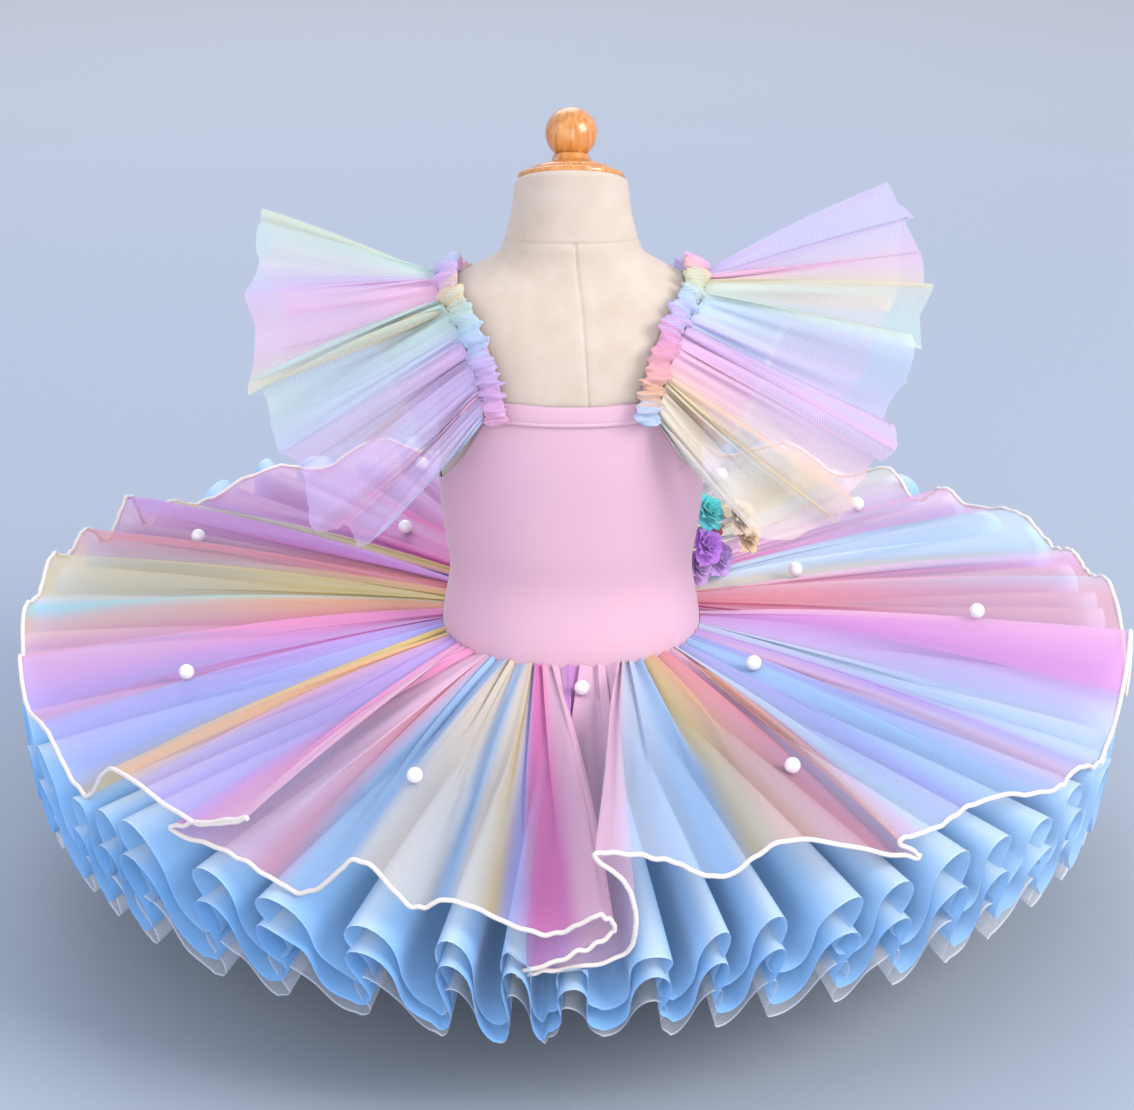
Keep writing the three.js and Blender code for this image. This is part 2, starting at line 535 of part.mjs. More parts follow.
function underTierGeometry(folds, side) {
  const { from, to, reach, drop, columns, spans } = UNDER_TIER;
  const pointAt = (i, j) => {
    const along = from + ((to - from) * i) / (columns - 1);
    const fold = readTable(folds, "along", along);
    const root = sleeveRoot(along, side, drop);
    const free = sleeveRoot(along, side, 0).lerp(new THREE.Vector3(fold.x, fold.y, fold.z), reach);
    const frame = strapFrame(along, side);
    const turns = (UNDER_TIER_RIPPLE.count * i) / (columns - 1);
    const wave = UNDER_TIER_RIPPLE.height * Math.cos(2 * Math.PI * turns);
    free.addScaledVector(frame.out, wave - 4 * drop);
    return root.lerp(free, j / spans);
  };
  return wallGeometry(columns, spans + 1, pointAt, SLEEVE.wall, false);
}

function buildSleeves() {
  for (const [hand, side, folds] of [["left", -1, SLEEVE_FOLDS_LEFT], ["right", 1, SLEEVE_FOLDS_RIGHT]]) {
    addPiece(`strap_${hand}`, strapGeometry(side), PINK_KNIT);
    addPiece(`sleeve_heading_${hand}`, headingGeometry(side), RAINBOW_NET);
    addPiece(`sleeve_${hand}`, sleeveGeometry(folds, side), RAINBOW_NET);
    addPiece(`sleeve_under_tier_${hand}`, underTierGeometry(folds, side), RAINBOW_NET);
  }
}

// ---------------------------------------------------------------- the skirt
// Where a layer is sewn to the bodice, at an angle from the centre back.
function seamPoint(angle, layerIndex) {
  const height = SKIRT.seamHeight - SKIRT.seamDip * Math.cos(angle * DEGREE) - SKIRT.layerStep * layerIndex;
  const point = offForm(angle, height, bodiceOuter + 1.4 * SEAM_GAP);
  return point.setZ(height);
}

// The point at a share of the way out from the seam to the free edge.
function layerPoint(seamAngle, edge, out, layerIndex) {
  const seam = seamPoint(seamAngle, layerIndex);
  const level = Math.cos(edge.droop * DEGREE) * edge.reach;
  const hem = seamPoint(edge.angle, layerIndex).add(new THREE.Vector3(
    level * Math.sin(edge.angle * DEGREE),
    -level * Math.cos(edge.angle * DEGREE),
    -Math.sin(edge.droop * DEGREE) * edge.reach,
  ));
  const point = seam.lerp(hem, out);
  point.z += SKIRT.arch * 4 * out * (1 - out);
  return point;
}

// The top layer's free edge, as evenly spaced steps between the crests and troughs of its folds.
function topEdge() {
  const turns = [];
  for (const fold of TOP_FOLDS) {
    turns.push({ angle: fold.crest, droop: fold.crestDroop, reach: fold.reach });
    turns.push({ angle: fold.trough, droop: fold.troughDroop, reach: fold.reach });
  }
  const count = turns.length;
  const turnAt = (i) => {
    const lap = Math.floor(i / count);
    const turn = turns[i - lap * count];
    return { ...turn, angle: turn.angle + 360 * lap };
  };
  const edge = [];
  for (let i = 0; i < count; i += 1) {
    const [a, b, c, d] = [i - 1, i, i + 1, i + 2].map(turnAt);
    for (let k = 0; k < TOP_SUBSTEPS; k += 1) {
      const t = k / TOP_SUBSTEPS;
      const step = {};
      for (const key of ["angle", "droop", "reach"]) {
        step[key] = smoothStep4(a[key], b[key], c[key], d[key], t);
      }
      edge.push(step);
    }
  }
  return edge;
}

// The net is gathered evenly, so the seam shares out its length as the free edge does.
function gatherAngles(edge) {
  const hems = edge.map((step) => layerPoint(step.angle, step, 1, 0));
  const lengths = [0];
  for (let i = 1; i <= hems.length; i += 1) {
    lengths.push(lengths[i - 1] + hems[i % hems.length].distanceTo(hems[i - 1]));
  }
  const even = edge.map((_, i) => (360 * lengths[i]) / lengths[hems.length]);
  const shift = edge.reduce((sum, step, i) => sum + (step.angle - even[i]) / edge.length, 0);
  return even.map((angle) => angle + shift);
}

const TOP_EDGE = topEdge();
const TOP_GATHER = gatherAngles(TOP_EDGE);

function topPoint(i, out) {
  return layerPoint(TOP_GATHER[i], TOP_EDGE[i], out, 0);
}

function buildTopLayer() {
  const pointAt = (i, j) => topPoint(i, j / TOP_SPANS);
  addPiece("skirt_top", wallGeometry(TOP_EDGE.length, TOP_SPANS + 1, pointAt, SKIRT.wall, true), RAINBOW_NET);
}

function buildLowerLayers() {
  const first = LOWER_DROOPS[0];
  const wrapped = [...LOWER_DROOPS, { ...first, angle: first.angle + 360 }];
  LOWER_LAYERS.forEach((layer, k) => {
    const columns = layer.folds * LOWER_SUBSTEPS;
    const pointAt = (i, j) => {
      const angle = -180 + (360 * i) / columns;
      const droop = readTable(wrapped, "angle", angle)[layer.name]
        + layer.ripple * Math.cos((2 * Math.PI * i) / LOWER_SUBSTEPS);
      const nearness = Math.cos(angle * DEGREE) ** 2;
      const reach = layer.sideReach + (layer.backReach - layer.sideReach) * nearness;
      return layerPoint(angle, { angle, droop, reach }, j / LOWER_SPANS, k + 1);
    };
    const wall = wallGeometry(columns, LOWER_SPANS + 1, pointAt, SKIRT.wall, true);
    addPiece(layer.name, wall, finish(layer.color));
  });
}

// The cord that edges the top layer: a closed tube just outside its free edge.
function buildHemCord() {
  const count = TOP_EDGE.length;
  const offset = HEM_CORD.radius + SEAM_GAP;
  const centres = TOP_EDGE.map((_, i) => {
    const edge = topPoint(i, 1);
    const outward = edge.clone().sub(topPoint(i, 0.9)).normalize();
    return edge.addScaledVector(outward, offset);
  });
  const rings = centres.map((centre, i) => {
    const tangent = centres[(i + 1) % count].clone().sub(centres[(i + count - 1) % count]).normalize();
    const outward = centre.clone().sub(topPoint(i, 0.9));
    outward.addScaledVector(tangent, -outward.dot(tangent)).normalize();
    const up = tangent.clone().cross(outward);
    return Array.from({ length: HEM_CORD.sides }, (_, j) => {
      const turn = (2 * Math.PI * j) / HEM_CORD.sides;
      return centre.clone()
        .addScaledVector(outward, HEM_CORD.radius * Math.cos(turn))
        .addScaledVector(up, HEM_CORD.radius * Math.sin(turn));
    });
  });
  addPiece("hem_cord", ringGeometry(rings, true), CREAM_CORD);
}

function buildPearls() {
  PEARLS.forEach((pearl, k) => {
    const count = TOP_EDGE.length;
    const heightUnder = (i) => {
      const point = topPoint(i, pearl.out);
      const miss = Math.atan2(point.x, -point.y) / DEGREE - pearl.angle;
      return Math.abs(miss) < PEARL_SEARCH ? point.z : -Infinity;
    };
    const spots = TOP_EDGE.map((_, i) => i);
    const crest = spots.reduce((best, i) => (heightUnder(i) > heightUnder(best) ? i : best), 0);
    const here = topPoint(crest, pearl.out);
    const after = topPoint((crest + 1) % count, pearl.out);
    const around = after.sub(topPoint((crest + count - 1) % count, pearl.out));
    const outward = topPoint(crest, pearl.out + 0.05).sub(topPoint(crest, pearl.out - 0.05));
    const up = outward.cross(around).normalize();
    if (up.z < 0) up.negate();
    const centre = here.addScaledVector(up, SKIRT.wall / 2 + PEARL_RADIUS + SEAM_GAP);
    const bead = addPiece(`pearl_${k + 1}`, new THREE.IcosahedronGeometry(PEARL_RADIUS, 1), PEARL_GLOSS);
    bead.position.copy(centre);
  });
}

// ---------------------------------------------------------------- the flower spray
// A stem that widens into a calyx and five rounded petals, turned about +Z with its foot at the origin.
function flowerGeometry(length) {
  const { petals, radius, thickness, stemRadius, columnsPerPetal } = FLOWER;
  const sides = petals * columnsPerPetal;
  const sections = [
    { radius: stemRadius * 0.3, height: 0, lobes: 0 },
    { radius: stemRadius, height: length * 0.3, lobes: 0 },
    { radius: stemRadius, height: length - thickness * 2, lobes: 0 },
    { radius: radius * 0.45, height: length - thickness, lobes: 0.1 },
    { radius, height: length + thickness * 0.4, lobes: 0.22 },
    { radius: radius * 0.96, height: length + thickness, lobes: 0.22 },
    { radius: radius * 0.35, height: length + thickness * 0.5, lobes: 0.05 },
  ];
  const rings = sections.map((section) => Array.from({ length: sides }, (_, j) => {
    const turn = (2 * Math.PI * j) / sides;
    const r = section.radius * (1 - section.lobes * Math.cos((petals * turn)));
    return new THREE.Vector3(r * Math.cos(turn), r * Math.sin(turn), section.height);
  }));
  return ringGeometry(rings, false);
}

function buildFlowers() {
  for (const flower of FLOWERS) {
    const foot = offForm(flower.angle, flower.height, bodiceOuter + 3.2 * SEAM_GAP);
    const head = new THREE.Vector3(flower.x, flower.y, flower.z);
    const reach = head.clone().sub(foot);
    const piece = addPiece(flower.name, flowerGeometry(reach.length()), finish(flower.color, 0.7));
    piece.position.copy(foot);
    piece.quaternion.setFromUnitVectors(new THREE.Vector3(0, 0, 1), reach.normalize());
  }
}

buildForm();
buildNeckCap();
buildStand();
buildBodice();
buildSleeves();
buildTopLayer();
buildLowerLayers();
buildHemCord();
buildPearls();
buildFlowers();

export default dress;
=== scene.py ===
"""The looks of a child's figure skating dress on a limbless dress form.

Lengths are in millimetres, with Z up and the back of the dress towards -Y, and they turn to metres
where a mesh is made. Angles are in degrees from the centre back, + to the wearer's right (+X).
"""
import logging
import math
from dataclasses import dataclass
from enum import Enum
from typing import Any, Sequence

import bmesh
import bpy
import numpy as np
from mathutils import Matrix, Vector


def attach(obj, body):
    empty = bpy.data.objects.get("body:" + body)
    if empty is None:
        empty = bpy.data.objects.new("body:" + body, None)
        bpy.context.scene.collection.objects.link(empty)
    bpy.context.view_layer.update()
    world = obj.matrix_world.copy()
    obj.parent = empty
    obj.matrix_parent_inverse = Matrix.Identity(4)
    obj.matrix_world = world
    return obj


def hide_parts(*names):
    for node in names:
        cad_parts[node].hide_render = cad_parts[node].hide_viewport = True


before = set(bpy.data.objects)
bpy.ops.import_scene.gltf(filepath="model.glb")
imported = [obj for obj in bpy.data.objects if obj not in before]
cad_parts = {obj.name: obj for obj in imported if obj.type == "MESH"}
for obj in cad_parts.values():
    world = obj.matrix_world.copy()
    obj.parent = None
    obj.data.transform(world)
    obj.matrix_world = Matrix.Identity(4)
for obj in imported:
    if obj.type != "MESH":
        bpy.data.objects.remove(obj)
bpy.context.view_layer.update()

MM = 0.001
BODY = "root"
LOG = logging.getLogger("dress")
# The scale at which a wave texture runs through one band in each metre.
ONE_BAND = 0.314


# ------------------------------------------------------------------ tables and numbers
class Table:
    """Rows of numbers under named columns, read along a smooth curve through the rows."""

    def __init__(self, names: str, rows: Sequence[Sequence[float]], key: str = "") -> None:
        """Keeps the rows.

        Args:
            names: the columns' names, parted by spaces.
            rows: the numbers, a row for each place.
            key: the column that gives the place of a row, or nothing for the row's number.
        """
        self.names = names.split()
        self.values = np.array(rows, dtype=float)
        count = np.arange(len(rows), dtype=float)
        self.keys = self.values[:, self.names.index(key)] if key else count

    def read(self, at: np.ndarray | float) -> dict[str, np.ndarray]:
        """Reads every column at the given places.

        Args:
            at: one place or an array of them.

        Returns:
            The columns' values by name, each in the shape of at.
        """
        at = np.asarray(at, dtype=float)
        last = len(self.keys) - 1
        i = np.clip(np.searchsorted(self.keys, at, side="right") - 1, 0, last - 1)
        span = self.keys[i + 1] - self.keys[i]
        t = np.clip((at - self.keys[i]) / span, 0, 1)[..., None]
        rows = self.values

        def climb(low: np.ndarray, high: np.ndarray) -> np.ndarray:
            """The rise over this span at the mean slope from row low to row high."""
            run = (self.keys[high] - self.keys[low])[..., None]
            return (rows[high] - rows[low]) / run * span[..., None]

        start = climb(np.maximum(i - 1, 0), i + 1)
        end = climb(i, np.minimum(i + 2, last))
        rise = rows[i + 1] - rows[i]
        bend = 3 * rise - 2 * start - end
        found = rows[i] + t * (start + t * (bend + t * (start + end - 2 * rise)))
        return {name: found[..., k] for k, name in enumerate(self.names)}


def unit(vectors: np.ndarray) -> np.ndarray:
    """The vectors at length one."""
    return vectors / np.maximum(np.linalg.norm(vectors, axis=-1, keepdims=True), 1e-12)


def sin_deg(angle: np.ndarray | float) -> np.ndarray:
    """Sine of an angle in degrees."""
    return np.sin(np.radians(angle))


def cos_deg(angle: np.ndarray | float) -> np.ndarray:
    """Cosine of an angle in degrees."""
    return np.cos(np.radians(angle))


def soft_noise(places: np.ndarray, waves: int, seed: int) -> np.ndarray:
    """A smooth uneven wave that closes on itself.

    Args:
        places: where to read it, 0 to 1 for one whole round.
        waves: the highest number of waves in one round.
        seed: picks the wave.

    Returns:
        Values of about -1 to 1.
    """
    random = np.random.default_rng(seed)
    total = np.zeros_like(places)
    counts = np.arange(max(1, waves // 3), waves + 1)
    for count in counts:
        total += np.sin(2 * math.pi * (count * places + random.random()))
    return total / math.sqrt(len(counts))


def srgb(code: str) -> tuple[float, float, float, float]:
    """Turns an sRGB hex colour to linear red, green, blue and 1."""
    parts = [int(code.lstrip("#")[k:k + 2], 16) / 255 for k in (0, 2, 4)]
    red, green, blue = (p / 12.92 if p <= 0.04045 else ((p + 0.055) / 1.055) ** 2.4 for p in parts)
    return (red, green, blue, 1.0)


# ------------------------------------------------------------------ the dyes of the printed net
class Dye(Enum):
    """The dyes that the rainbow net is printed with."""

    LILAC = "#C9A2F2"
    ORCHID = "#E391E8"
    PINK = "#FF96D0"
    BLUSH = "#FFC6E0"
    MAGENTA = "#F25FB6"
    SALMON = "#FF8E9C"
    PEACH = "#FFB285"
    ORANGE = "#FFB04E"
    YELLOW = "#F4D376"
    LIME = "#D2E39A"
    MINT = "#B0E0D0"
    AQUA = "#A5D2FF"
    ICE = "#D6E8FF"
    PERIWINKLE = "#B9B6FF"
    CREAM = "#EFDDC2"


class DyeChart:
    """The stripes across a sheet: a dye at each place, run softly into the next."""

    def __init__(self, stops: str, pale: float = 0.0) -> None:
        """Keeps the stops.

        Args:
            stops: a place and a dye's name in turn, parted by spaces, in rising order.
            pale: how much white there is in the dyes.
        """
        words = stops.split()
        self.places = np.array([float(place) for place in words[::2]])
        colours = np.array([srgb(Dye[name].value)[:3] for name in words[1::2]])
        self.colours = colours + (1 - colours) * pale

    def read(self, at: np.ndarray) -> np.ndarray:
        """The linear colour at each place, with one more axis than at."""
        last = len(self.places) - 1
        i = np.clip(np.searchsorted(self.places, at, side="right") - 1, 0, last - 1)
        t = np.clip((at - self.places[i]) / (self.places[i + 1] - self.places[i]), 0, 1)
        t = (t * t * (3 - 2 * t))[..., None]
        return self.colours[i] * (1 - t) + self.colours[i + 1] * t


# ------------------------------------------------------------------ meshes
def grid_corners(columns: int, rows: int, closed: bool) -> tuple[np.ndarray, np.ndarray]:
    """The column and row of the four corners of each square of a grid."""
    spans = columns if closed else columns - 1
    column, row = np.meshgrid(np.arange(spans), np.arange(rows - 1), indexing="ij")
    across = np.stack([column, column + 1, column + 1, column], axis=-1).reshape(-1, 4)
    along = np.stack([row, row, row + 1, row + 1], axis=-1).reshape(-1, 4)
    return across, along


def grid_around(points: np.ndarray, closed: bool) -> np.ndarray:
    """The way from column to column at each point, of any length."""
    if closed:
        return np.roll(points, -1, axis=0) - np.roll(points, 1, axis=0)
    return np.gradient(points, axis=0)


def grid_normals(points: np.ndarray, closed: bool) -> np.ndarray:
    """The grid's normal at each point: round by up."""
    along = np.gradient(points, axis=1)
    return unit(np.cross(unit(grid_around(points, closed)), unit(along)))


@dataclass(frozen=True)
class Laps:
    """Narrow folds of net laid over to one side, which run out into points before the free edge.

    Attributes:
        count: how many there are.
        seed: picks their widths and ways.
        height: how far a fold stands off the sheet.
        lean: how far it is laid over, as a share of its width, from least to most.
        ends: where it runs out, from least to most, 1 for the free edge.
        stagger: how far the free edge is drawn in and out by the folds.
    """

    count: int
    seed: int
    height: float
    lean: tuple[float, float]
    ends: tuple[float, float]
    stagger: float = 0

    def lay(self, points: np.ndarray, closed: bool, out: np.ndarray) -> np.ndarray:
        """Lays a sheet in the folds.

        Args:
            points: the sheet's columns by rows by three.
            closed: the last column joins the first.
            out: each row's share of the way out.

        Returns:
            The folded sheet's points.
        """
        hem = points[:, -1]
        steps = np.linalg.norm(np.roll(hem, -1, axis=0) - hem, axis=1)
        if not closed:
            steps[-1] = 0
        share = (np.cumsum(steps) - steps) / steps.sum()
        random = np.random.default_rng(self.seed)
        width = random.uniform(0.45, 1.55, self.count)
        width /= width.sum()
        start = np.cumsum(width) - width
        fold = np.clip(np.searchsorted(start, share, side="right") - 1, 0, self.count - 1)
        wave = np.sin(2 * math.pi * (share - start[fold]) / width[fold])[:, None]
        lean = random.uniform(*self.lean, self.count) * random.choice([-1.0, 1.0], self.count) * width
        ends = random.uniform(*self.ends, self.count)
        fade = np.clip(1 - out[None, :] / ends[fold][:, None], 0, 1) ** 0.7
        lengths = np.array([line_length(points[:, j], closed) for j in range(points.shape[1])])
        shift = lean[fold][:, None] * lengths * wave * fade
        lift = self.height * wave * np.sqrt(fade)
        way = unit(points[:, -1:] - points[:, :1])
        drawn = self.stagger * np.cos(math.pi * np.cumsum(random.uniform(0.8, 1.2, self.count)))[fold]
        moved = points + way * (drawn[:, None] * np.abs(wave) ** 0.5 * out**2)[..., None]
        around = unit(grid_around(points, closed))
        return moved + around * shift[..., None] + grid_normals(points, closed) * lift[..., None]


def line_length(points: np.ndarray, closed: bool = False) -> float:
    """The length of a line of points."""
    if closed:
        points = np.concatenate([points, points[:1]])
    return float(np.linalg.norm(np.diff(points, axis=0), axis=1).sum())


def add_object(name: str, data: bpy.types.ID) -> bpy.types.Object:
    """Puts a mesh, curve, lamp or camera in the scene under a name."""
    piece = bpy.data.objects.new(name, data)
    bpy.context.scene.collection.objects.link(piece)
    return piece


def mesh_piece(
    name: str,
    vertices: np.ndarray,
    faces: list[list[int]],
    material: bpy.types.Material,
    uv: np.ndarray | None = None,
    dyes: np.ndarray | None = None,
) -> bpy.types.Object:
    """Makes a smooth mesh object.

    Args:
        name: the piece's name.
        vertices: points in millimetres.
        faces: each face's vertices.
        material: its finish.
        uv: for each face corner in turn, the place on the flat cloth in metres.
        dyes: for each vertex, its linear colour.

    Returns:
        The object, at the origin.
    """
    mesh = bpy.data.meshes.new(name)
    mesh.from_pydata((vertices * MM).tolist(), [], faces)
    if uv is not None:
        mesh.uv_layers.new(name="cloth").data.foreach_set("uv", uv.ravel())
    if dyes is not None:
        colours = np.concatenate([dyes, np.ones((len(dyes), 1))], axis=1)
        mesh.attributes.new("dye", "FLOAT_COLOR", "POINT").data.foreach_set("color", colours.ravel())
    mesh.materials.append(material)
    mesh.shade_smooth()
    mesh.update()
    return add_object(name, mesh)


@dataclass
class Sheet:
    """A sheet of cloth as a grid of points: columns go across it and rows from its seam outwards.

    Attributes:
        points: columns by rows by three, in millimetres.
        closed: the last column joins the first.
        across: each column's place across the flat cloth.
        along: each row's place from the seam on the flat cloth.
        dyes: each point's linear colour.
        turned: the face that shows is against the grid's own normal.
    """

    points: np.ndarray
    closed: bool = False
    across: np.ndarray | None = None
    along: np.ndarray | None = None
    dyes: np.ndarray | None = None
    turned: bool = False

    def size(self) -> tuple[float, float, float]:
        """The flat width and length in metres, and the cloth's area in square metres."""
        width = max(line_length(self.points[:, j], self.closed) for j in range(self.points.shape[1]))
        length = max(line_length(column) for column in self.points)
        across, along = grid_corners(*self.points.shape[:2], self.closed)
        corner = self.points[across % len(self.points), along]
        first = np.cross(corner[:, 1] - corner[:, 0], corner[:, 2] - corner[:, 0])
        second = np.cross(corner[:, 2] - corner[:, 0], corner[:, 3] - corner[:, 0])
        area = np.linalg.norm(first, axis=1).sum() + np.linalg.norm(second, axis=1).sum()
        return width * MM, length * MM, float(area) / 2 * MM * MM

    def film(self, name: str, material: bpy.types.Material) -> bpy.types.Object:
        """The sheet as one open surface, for net."""
        columns, rows = self.points.shape[:2]
        across, along = grid_corners(columns, rows, self.closed)
        if self.turned:
            across, along = across[:, ::-1], along[:, ::-1]
        faces = (across % columns) * rows + along
        places = self.across * MM
        if self.closed:
            step = places[1] - places[0]
            places = np.append(places, places[-1] + step)
        uv = np.stack([places[across], (self.along * MM)[along]], axis=-1)
        dyes = None if self.dyes is None else self.dyes.reshape(-1, 3)
        vertices = self.points.reshape(-1, 3)
        return mesh_piece(name, vertices, faces.tolist(), material, uv, dyes)

    def wall(self, name: str, material: bpy.types.Material, thickness: float) -> bpy.types.Object:
        """The sheet as a closed wall of even thickness, for knit."""
        columns, rows = self.points.shape[:2]
        shift = grid_normals(self.points, self.closed) * thickness / 2
        vertices = np.concatenate([self.points + shift, self.points - shift]).reshape(-1, 3)
        across, along = grid_corners(columns, rows, self.closed)
        outer = (across % columns) * rows + along
        faces = np.concatenate([outer, outer[:, ::-1] + columns * rows]).tolist()
        rims = [[i * rows + j for i in range(columns)] for j in (0, rows - 1)]
        ends = [list(range(rows)), [(columns - 1) * rows + j for j in range(rows)]]
        back = columns * rows
        for line, turn in ((rims[0], 1), (rims[1], -1), (ends[0], -1), (ends[1], 1)):
            if self.closed and line in ends:
                continue
            loop = line + line[:1] if self.closed else line
            for a, b in zip(loop, loop[1:]):
                face = [a, a + back, b + back, b]
                faces.append(face if turn > 0 else face[::-1])
        return mesh_piece(name, vertices, faces, material)


def tube_faces(rings: int, sides: int, capped: bool = True) -> list[list[int]]:
    """Faces of a tube of stacked rings, with its ends closed by one face each."""
    faces = []
    for i in range(rings - 1):
        for j in range(sides):
            k = (j + 1) % sides
            faces.append([i * sides + j, i * sides + k, (i + 1) * sides + k, (i + 1) * sides + j])
    if capped:
        faces.append(list(range(sides))[::-1])
        faces.append([(rings - 1) * sides + j for j in range(sides)])
    return faces


def facing_out(vertices: np.ndarray, faces: list[list[int]]) -> list[list[int]]:
    """The faces of a closed body, turned round if they face inwards."""
    volume = 0.0
    for face in faces:
        a = vertices[face[0]]
        for i in range(1, len(face) - 1):
            volume += float(a @ np.cross(vertices[face[i]], vertices[face[i + 1]]))
    return faces if volume > 0 else [face[::-1] for face in faces]


# ------------------------------------------------------------------ nodes
def add_node(
    tree: bpy.types.NodeTree, kind: str, fill: dict[str | int, Any] | None = None, **settings: Any
) -> bpy.types.Node:
    """Adds a node with its settings and links.

    Args:
        tree: the node tree it goes into.
        kind: the node's type name.
        fill: for an input's name or number, its value or the socket that it is linked to.
        **settings: the node's own properties.

    Returns:
        The new node.
    """
    node = tree.nodes.new(kind)
    for name, value in settings.items():
        setattr(node, name, value)
    for key, value in (fill or {}).items():
        if isinstance(value, bpy.types.NodeSocket):
            tree.links.new(value, node.inputs[key])
        else:
            node.inputs[key].default_value = value
    return node


class Finish:
    """A material of a name, with a surface that each kind of finish draws in nodes."""

    def surface(self, tree: bpy.types.NodeTree) -> bpy.types.Node:
        """Draws the surface in the tree and gives its last node."""
        raise NotImplementedError

    def build(self) -> bpy.types.Material:
        """Makes the material."""
        material = bpy.data.materials.new(self.name)
        material.use_nodes = True
        tree = material.node_tree
        tree.nodes.clear()
        add_node(tree, "ShaderNodeOutputMaterial", {"Surface": self.surface(tree).outputs[0]})
        return material


@dataclass(frozen=True)
class NetFinish(Finish):
    """Nylon tulle, knitted in open cells and stiffened: a sheer film with a fine net in it.

    The threads catch the light from both sides and the holes let the layers below show. The real cell
    is 1.1 mm across. It is drawn about half as large again, so that it shows.

    Attributes:
        name: the material's name.
        cover: how much of the view the threads hide where the net hangs single.
        gathered_cover: the same at the seam, where it is drawn up in gathers.
        gathered_for: how far out from the seam the gathers thin out.
        edge: how far from the seam the cut edge lies, or 0 for none to show.
        cell: the size of a drawn cell.
        thread: half the width of a thread, as a share of the cell.
        glow: how much of the light goes through the threads.
        contrast: how much more the threads hide than the cells between them.
        mean_thread: the mean of the net's pattern, at which the cover is as stated.
        roughness: of the threads.
        sheen: of the threads.
    """

    name: str
    cover: float = 0.5
    gathered_cover: float = 0.92
    gathered_for: float = 110
    edge: float = 0
    cell: float = 1.7
    thread: float = 0.34
    glow: float = 0.22
    contrast: float = 0.22
    mean_thread: float = 0.35
    roughness: float = 0.55
    sheen: float = 0.35

    def surface(self, tree: bpy.types.NodeTree) -> bpy.types.Node:
        """Draws the surface in the tree."""
        place = add_node(tree, "ShaderNodeUVMap", uv_map="cloth").outputs["UV"]
        split = add_node(tree, "ShaderNodeSeparateXYZ", {0: place})
        across, along = split.outputs["X"], split.outputs["Y"]
        scale = 1 / (self.cell * MM)
        sides = []
        for operation in ("ADD", "SUBTRACT"):
            slant = add_node(tree, "ShaderNodeMath", {0: across, 1: along}, operation=operation)
            cells = add_node(tree, "ShaderNodeMath", {
                0: slant.outputs[0], 1: scale,
            }, operation="MULTIPLY")
            side = add_node(tree, "ShaderNodeMath", {0: cells.outputs[0], 1: 0.5}, operation="PINGPONG")
            sides.append(side.outputs[0])
        near = add_node(tree, "ShaderNodeMath", dict(enumerate(sides)), operation="MINIMUM")
        away = add_node(tree, "ShaderNodeMath", {0: near.outputs[0], 1: self.thread}, operation="DIVIDE")
        thread = add_node(tree, "ShaderNodeMath", {
            0: 1.0, 1: away.outputs[0],
        }, operation="SUBTRACT", use_clamp=True)
        gathers = add_node(tree, "ShaderNodeMapRange", {
            "Value": along, "From Min": 0.0, "From Max": self.gathered_for * MM,
            "To Min": self.gathered_cover, "To Max": self.cover,
        }, interpolation_type="SMOOTHSTEP")
        over = add_node(tree, "ShaderNodeMath", {
            0: thread.outputs[0], 1: self.mean_thread,
        }, operation="SUBTRACT")
        weave = add_node(tree, "ShaderNodeMath", {
            0: over.outputs[0], 1: self.contrast,
        }, operation="MULTIPLY")
        cover = add_node(tree, "ShaderNodeMath", {
            0: gathers.outputs[0], 1: weave.outputs[0],
        }, operation="ADD", use_clamp=True)
        if self.edge:
            rim = add_node(tree, "ShaderNodeMapRange", {
                "Value": along, "From Min": (self.edge - 1.6) * MM, "From Max": (self.edge - 0.6) * MM,
                "To Min": 0.0, "To Max": 0.5,
            })
            cover = add_node(tree, "ShaderNodeMath", {
                0: cover.outputs[0], 1: rim.outputs[0],
            }, operation="ADD", use_clamp=True)
        colour = add_node(tree, "ShaderNodeAttribute", attribute_name="dye").outputs["Color"]
        thread_body = add_node(tree, "ShaderNodeBsdfPrincipled", {
            "Base Color": colour, "Roughness": self.roughness, "Sheen Weight": self.sheen,
            "Specular IOR Level": 0.35, "IOR": 1.53,
        })
        through = add_node(tree, "ShaderNodeBsdfTranslucent", {"Color": colour})
        cloth = add_node(tree, "ShaderNodeMixShader", {
            0: self.glow, 1: thread_body.outputs[0], 2: through.outputs[0],
        })
        hole = add_node(tree, "ShaderNodeBsdfTransparent")
        return add_node(tree, "ShaderNodeMixShader", {
            0: cover.outputs[0], 1: hole.outputs[0], 2: cloth.outputs[0],
        })


